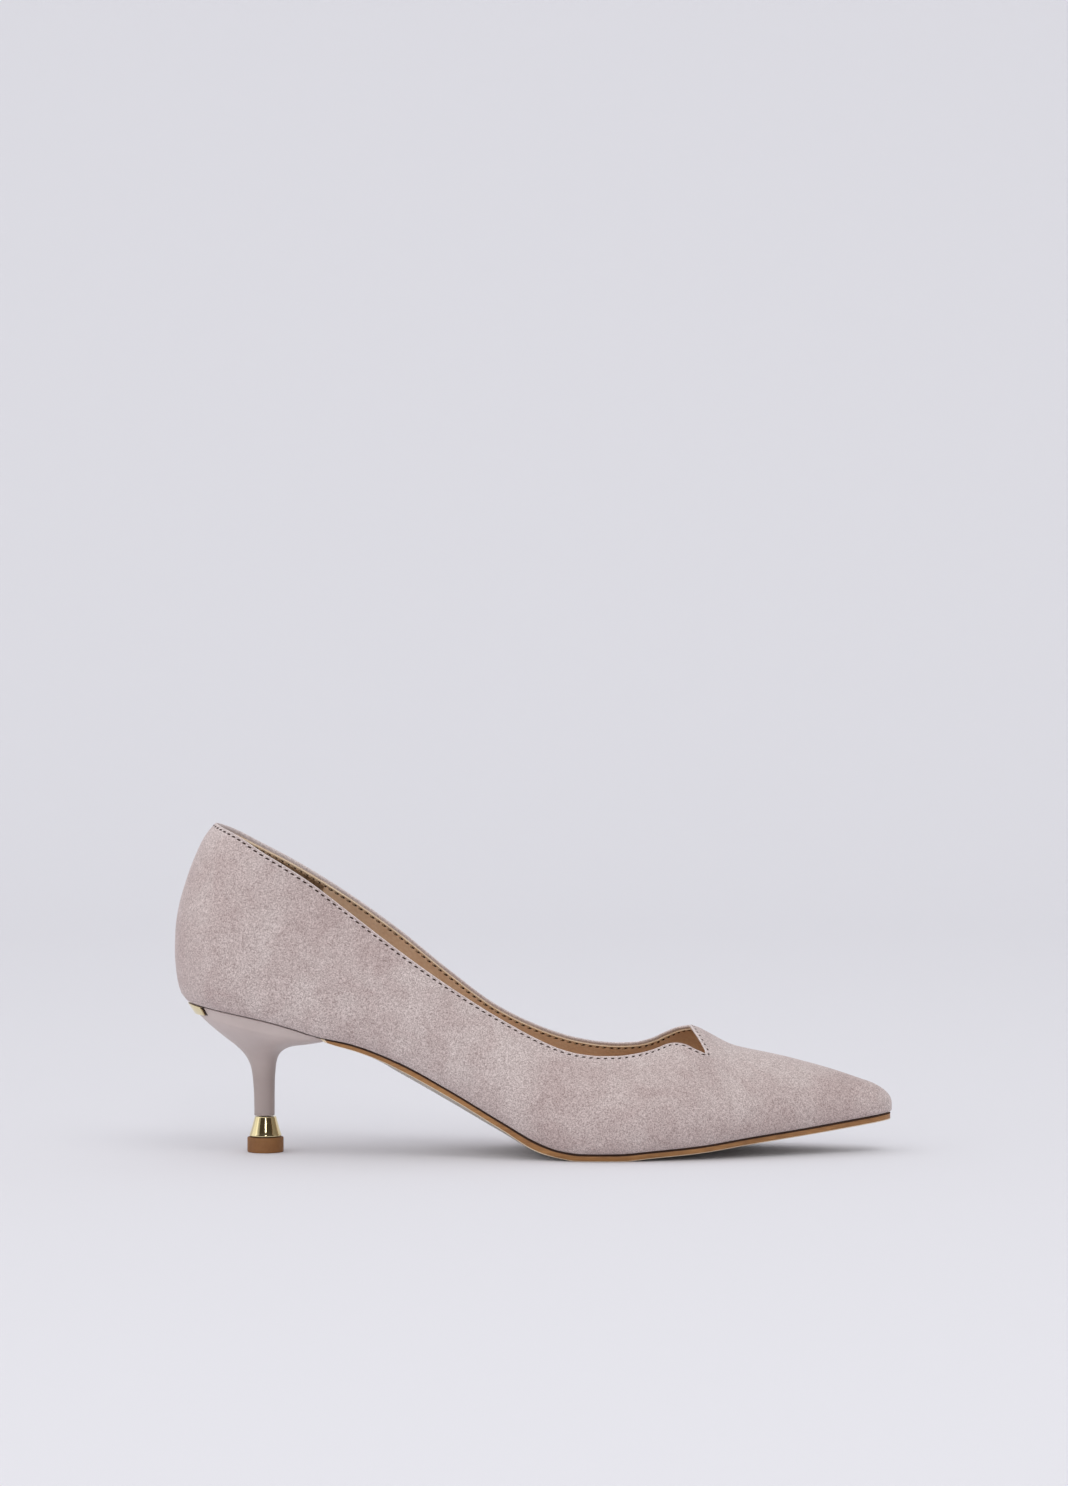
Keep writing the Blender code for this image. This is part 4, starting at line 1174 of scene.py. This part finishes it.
def satin_finish(tree, where):
    """Satin lacquer, darkened towards the foot of the stem by painted shade."""
    mottle = noise(tree, where, 90.0, detail=3.0, roughness=0.6)
    fine = noise(tree, where, 1800.0, roughness=0.6)
    tone = fit_range(tree, mottle, *MIDDLE)
    lacquer = mix_colours(tree, tone, (0.535, 0.448, 0.423), (0.583, 0.489, 0.464))
    height = add_node(tree, "ShaderNodeSeparateXYZ", {0: where}).outputs[2]
    # Painted shade: the colour darkens from the top of the stem down towards its foot
    painted_stem_shade = fit_range(tree, height, *STEM_SHADE_HEIGHTS, 0.0, STEM_SHADE)
    return {
        "Base Color": mix_colours(tree, painted_stem_shade, lacquer, (0.60, 0.572, 0.563), "MULTIPLY"),
        "Roughness": fit_range(tree, mottle, *MIDDLE, 0.4, 0.5),
        "Normal": bump(tree, fine, 0.2, 0.00003),
    }


def gold_finish(tree, where):
    mottle = noise(tree, where, 220.0, detail=3.0, roughness=0.6)
    tone = fit_range(tree, mottle, *MIDDLE)
    return {
        "Base Color": mix_colours(tree, tone, (0.78, 0.66, 0.36), (0.86, 0.75, 0.47)),
        "Roughness": fit_range(tree, mottle, *MIDDLE, 0.06, 0.14),
        "Metallic": 1.0,
    }


def rubber_finish(tree, where):
    fine = noise(tree, where, 1500.0, detail=3.0, roughness=0.7)
    tone = fit_range(tree, noise(tree, where, 160.0, detail=3.0, roughness=0.6), *MIDDLE)
    return {
        "Base Color": mix_colours(tree, tone, (0.22, 0.090, 0.024), (0.29, 0.130, 0.041)),
        "Roughness": fit_range(tree, fine, *MIDDLE, 0.55, 0.75),
        "Normal": bump(tree, fine, 0.4, 0.00006),
    }


def thread_finish(tree, where, dark, light):
    twist = fit_range(tree, noise(tree, where, 2500.0), *NARROW)
    return {"Base Color": mix_colours(tree, twist, dark, light), "Roughness": 0.7}


def dark_finish(tree, where, colour):
    darker = tuple(value * 0.7 for value in colour)
    tone = noise(tree, where, 1200.0)
    return {
        "Base Color": mix_colours(tree, tone, darker, colour),
        "Roughness": 0.9, "Specular IOR Level": 0.1,
    }


def make_material(name, finish, *settings):
    """Material whose shader gets what the finish returns."""
    material = bpy.data.materials.new(name)
    material.use_nodes = True
    tree = material.node_tree
    where = add_node(tree, "ShaderNodeTexCoord").outputs["Object"]
    fill(tree, tree.nodes["Principled BSDF"], finish(tree, where, *settings))
    return material


SUEDE = make_material(
    "mauve_suede", suede_finish, (0.372, 0.304, 0.289), (0.766, 0.663, 0.638), (0.85, 0.80, 0.80))
# Lighter copy of the suede for the fold: painted light, a highlight along the folded edge and a lit
# strip inside it
SUEDE_FOLD_PAINTED_LIGHT = make_material(
    "mauve_suede_fold_painted_light", suede_finish, (0.55, 0.47, 0.45), (0.84, 0.76, 0.745), (0.95, 0.93, 0.93))
GRIP = make_material(
    "heel_grip_suede", suede_finish, (0.13, 0.075, 0.04), (0.30, 0.19, 0.11), (0.7, 0.65, 0.6),
    800.0, 140.0)
LINING = make_material(
    "tan_lining", leather_finish, (0.745, 0.535, 0.36), (0.845, 0.63, 0.445), 0.5)
RAW_EDGE = make_material(
    "raw_leather_edge", leather_finish, (0.78, 0.63, 0.45), (0.90, 0.77, 0.58), 0.7)
SOCK = make_material(
    "tan_sock", leather_finish, (0.50, 0.32, 0.18), (0.58, 0.38, 0.225), 0.48, 750.0)
SOLE_EDGE = make_material("sole_edge_wax", sole_edge_finish)
TREAD_LEATHER = make_material(
    "pale_tread", leather_finish, (0.47, 0.42, 0.36), (0.58, 0.53, 0.47), 0.55, 500.0)
SATIN = make_material("heel_satin", satin_finish)
GOLD = make_material("pale_gold_polish", gold_finish)
RUBBER = make_material("tip_rubber", rubber_finish)
SUEDE_THREAD = make_material("mauve_thread", thread_finish, (0.55, 0.47, 0.46), (0.74, 0.66, 0.65))
TAN_THREAD = make_material("tan_thread", thread_finish, (0.42, 0.28, 0.16), (0.60, 0.44, 0.28))
# Near black for painted shade: in the needle holes and in the gaps beside the back plate
HOLE_PAINTED_SHADE = make_material("needle_hole_painted_shade", dark_finish, (0.045, 0.026, 0.02))
# Near black for the painted shade along the top of the sole, under the upper
SOLE_RIM_PAINTED_SHADE = make_material("sole_rim_painted_shade", dark_finish, (0.075, 0.04, 0.028))

# The shoe
settle(build_suede(SUEDE, SUEDE_FOLD_PAINTED_LIGHT), "suede", "upper")
settle(build_lining(LINING, RAW_EDGE), "lining", "upper")
settle(build_heel_grip(GRIP), "lining")
settle(build_sock(SOCK), "lining", "insole")
settle(build_outsole(SOLE_EDGE, TREAD_LEATHER, RAW_EDGE, SOLE_RIM_PAINTED_SHADE), "sole", "outsole")
settle(build_heel(SATIN), "heel_cover", "heel")
settle(build_turned("heel_collar_polished", COLLAR_PROFILE, GOLD), "gold", "heel_collar")
settle(build_turned("heel_tip_rubber", TOP_PIECE_PROFILE, RUBBER), "heel_tip", "top_piece")
settle(build_back_plate(GOLD), "gold", "back_plate")
settle(build_plate_shadow_gap(HOLE_PAINTED_SHADE), "heel_cover")

SHORTEST_STEP = 0.02          # between two points of a row's line
OUTSIDE_SINK = 0.1            # middle of the stitches, below the surface
LINING_SINK = 0.06


def row_line(distance, wall, sink):
    """Points of a stitch row, a distance below the topline, and the way they face."""
    s, q = strip_places(distance)
    normal = surface_frame(s, q)[2]
    facing = normal if wall == OUTSIDE else -normal
    floor = 0.0 if wall == OUTSIDE else LINING_FLOOR
    points = last_point(s, q, wall, floor) - facing * sink
    steps = np.linalg.norm(np.diff(points, axis=0), axis=1)
    keep = np.concatenate([[True], steps > SHORTEST_STEP])
    return points[keep], facing[keep]


TREE = stitch_tree()
STITCH_SIZES = {
    "Pitch": STITCH_PITCH, "Start": 0.0, "Length": 1.25, "Width": 0.5, "Height": 0.46, "Slant": 0.12,
}
HOLE_SIZES = {
    "Pitch": STITCH_PITCH, "Start": STITCH_PITCH / 2, "Length": 1.7, "Width": 0.68, "Height": 0.38,
    "Slant": 0.2,
}
LINING_HOLE_SIZES = {**HOLE_SIZES, "Length": 1.9, "Width": 0.85}

for name, slot, distance, wall, sink, thread, hole_sizes in (
    ("topline", "suede", OUTSIDE_STITCH, OUTSIDE, OUTSIDE_SINK, SUEDE_THREAD, HOLE_SIZES),
    ("lining", "lining", LINING_STITCH, UPPER_WALL, LINING_SINK, TAN_THREAD, LINING_HOLE_SIZES),
):
    line, facing = row_line(distance, wall, sink)
    stitch_row(name + "_stitches", TREE, line, facing, STITCH_SIZES, thread, slot)
    # The needle holes are dark domes of painted shade between the stitches
    stitch_row(name + "_needle_holes", TREE, line, facing, hole_sizes, HOLE_PAINTED_SHADE, slot)


# Floor, backdrop, light and camera, in metres
CAMERA_PLACE = (0.0, -1.360, 0.147)
FOCAL_PIXELS = 3780.0
PHOTO_HEIGHT = 1486.0
SENSOR = 36.0
FLOOR_HALF_WIDTH = 8.0
FLOOR_LINES = (-9.0, -2.0, 0.0, 1.6)      # the last is where the paper starts to bend up
BEND_RADIUS = 2.6
BEND_STEPS = 32
BACKDROP_TOP = 5.0

# Name, place, aim, size, watts, and whether reflections show it
LIGHTS = (
    ("side_softbox", (-2.0, -0.9, 0.9), (0.0, 0.0, 0.05), (1.2, 1.4), 2.0, True),
    ("front_softbox", (0.6, -1.2, 2.3), (0.0, 0.0, 0.0), (1.4, 1.1), 9.0, False),
    ("front_strip", (0.1, -1.9, 1.0), (-0.0966, 0.0, 0.01), (0.26, 0.3), 1.8, True),
    ("backdrop_light", (0.0, 1.4, 2.6), (0.0, 4.2, 1.1), (5.0, 1.0), 5.0, False),
)
PAPER = {"Base Color": (0.78, 0.775, 0.81), "Roughness": 0.9, "Specular IOR Level": 0.2}
SKY_STRENGTH = 1.22
SKY = (0.82, 0.822, 0.838)
SKY_DARK = (0.0, 0.0, 0.0)
SKY_WARM = (0.30, 0.15, 0.06)
SKY_GAP = (0.05, 0.04, 0.032)


def build_floor():
    """Sheet of paper that bends up behind the shoe."""
    start = FLOOR_LINES[-1]
    profile = [(y, 0.0) for y in FLOOR_LINES]
    for angle in np.linspace(0.0, np.pi / 2, BEND_STEPS + 1)[1:]:
        profile.append((start + BEND_RADIUS * np.sin(angle), BEND_RADIUS * (1 - np.cos(angle))))
    profile.append((start + BEND_RADIUS, BACKDROP_TOP))
    corners = [(x, y, z) for x in (-FLOOR_HALF_WIDTH, FLOOR_HALF_WIDTH) for y, z in profile]
    count = len(profile)
    faces = [(k, count + k, count + k + 1, k + 1) for k in range(count - 1)]
    mesh = bpy.data.meshes.new("floor")
    mesh.from_pydata(corners, [], faces)
    mesh.shade_smooth()
    paper = bpy.data.materials.new("studio_paper")
    paper.use_nodes = True
    fill(paper.node_tree, paper.node_tree.nodes["Principled BSDF"], PAPER)
    mesh.materials.append(paper)
    add_object("floor", mesh)


def add_light(name, place_at, aim, size, watts, reflected):
    light = bpy.data.lights.new(name, "AREA")
    light.shape = "RECTANGLE"
    light.size, light.size_y = size
    light.energy = watts
    thing = add_object(name, light)
    thing.location = place_at
    way = np.array(aim) - np.array(place_at)
    thing.rotation_euler = Vector(way).to_track_quat("-Z", "Y").to_euler()
    thing.visible_camera = False
    thing.visible_glossy = reflected


def build_sky(tree):
    """Pale room light, darker to the right.

    Reflections also meet a dark gap round the camera and a warm band on the right.
    """
    room = add_node(tree, "ShaderNodeTexCoord").outputs["Generated"]
    right, away, up = add_node(tree, "ShaderNodeSeparateXYZ", {0: room}).outputs
    mirrored = add_node(tree, "ShaderNodeLightPath").outputs["Is Glossy Ray"]
    # Each pair of numbers is a direction where a part of the sky starts and one where it is full
    ahead = fit_range(tree, multiply(tree, away, -1.0), 0.25, 0.45)
    gap = multiply(tree, ahead, fit_range(tree, up, 0.75, 0.6))
    band = multiply(tree, fit_range(tree, right, 0.66, 0.76), fit_range(tree, right, 0.985, 0.96))
    colour = mix_colours(tree, fit_range(tree, right, 0.0, 0.9, 0.0, 0.5), SKY, SKY_DARK)
    colour = mix_colours(tree, multiply(tree, mirrored, band), colour, SKY_WARM)
    colour = mix_colours(tree, multiply(tree, gap, mirrored), colour, SKY_GAP)
    fill(tree, tree.nodes["Background"], {"Color": colour, "Strength": SKY_STRENGTH})


def build_studio():
    build_floor()
    world = bpy.data.worlds.new("studio")
    bpy.context.scene.world = world
    world.use_nodes = True
    build_sky(world.node_tree)
    for settings in LIGHTS:
        add_light(*settings)
    camera = bpy.data.cameras.new("camera")
    camera.sensor_width = SENSOR
    camera.lens = FOCAL_PIXELS / PHOTO_HEIGHT * SENSOR
    camera.clip_end = 50.0
    thing = add_object("camera", camera)
    thing.location = CAMERA_PLACE
    thing.rotation_euler = (np.pi / 2, 0.0, 0.0)
    bpy.context.scene.camera = thing
    bpy.context.scene.view_settings.view_transform = "Standard"


build_studio()
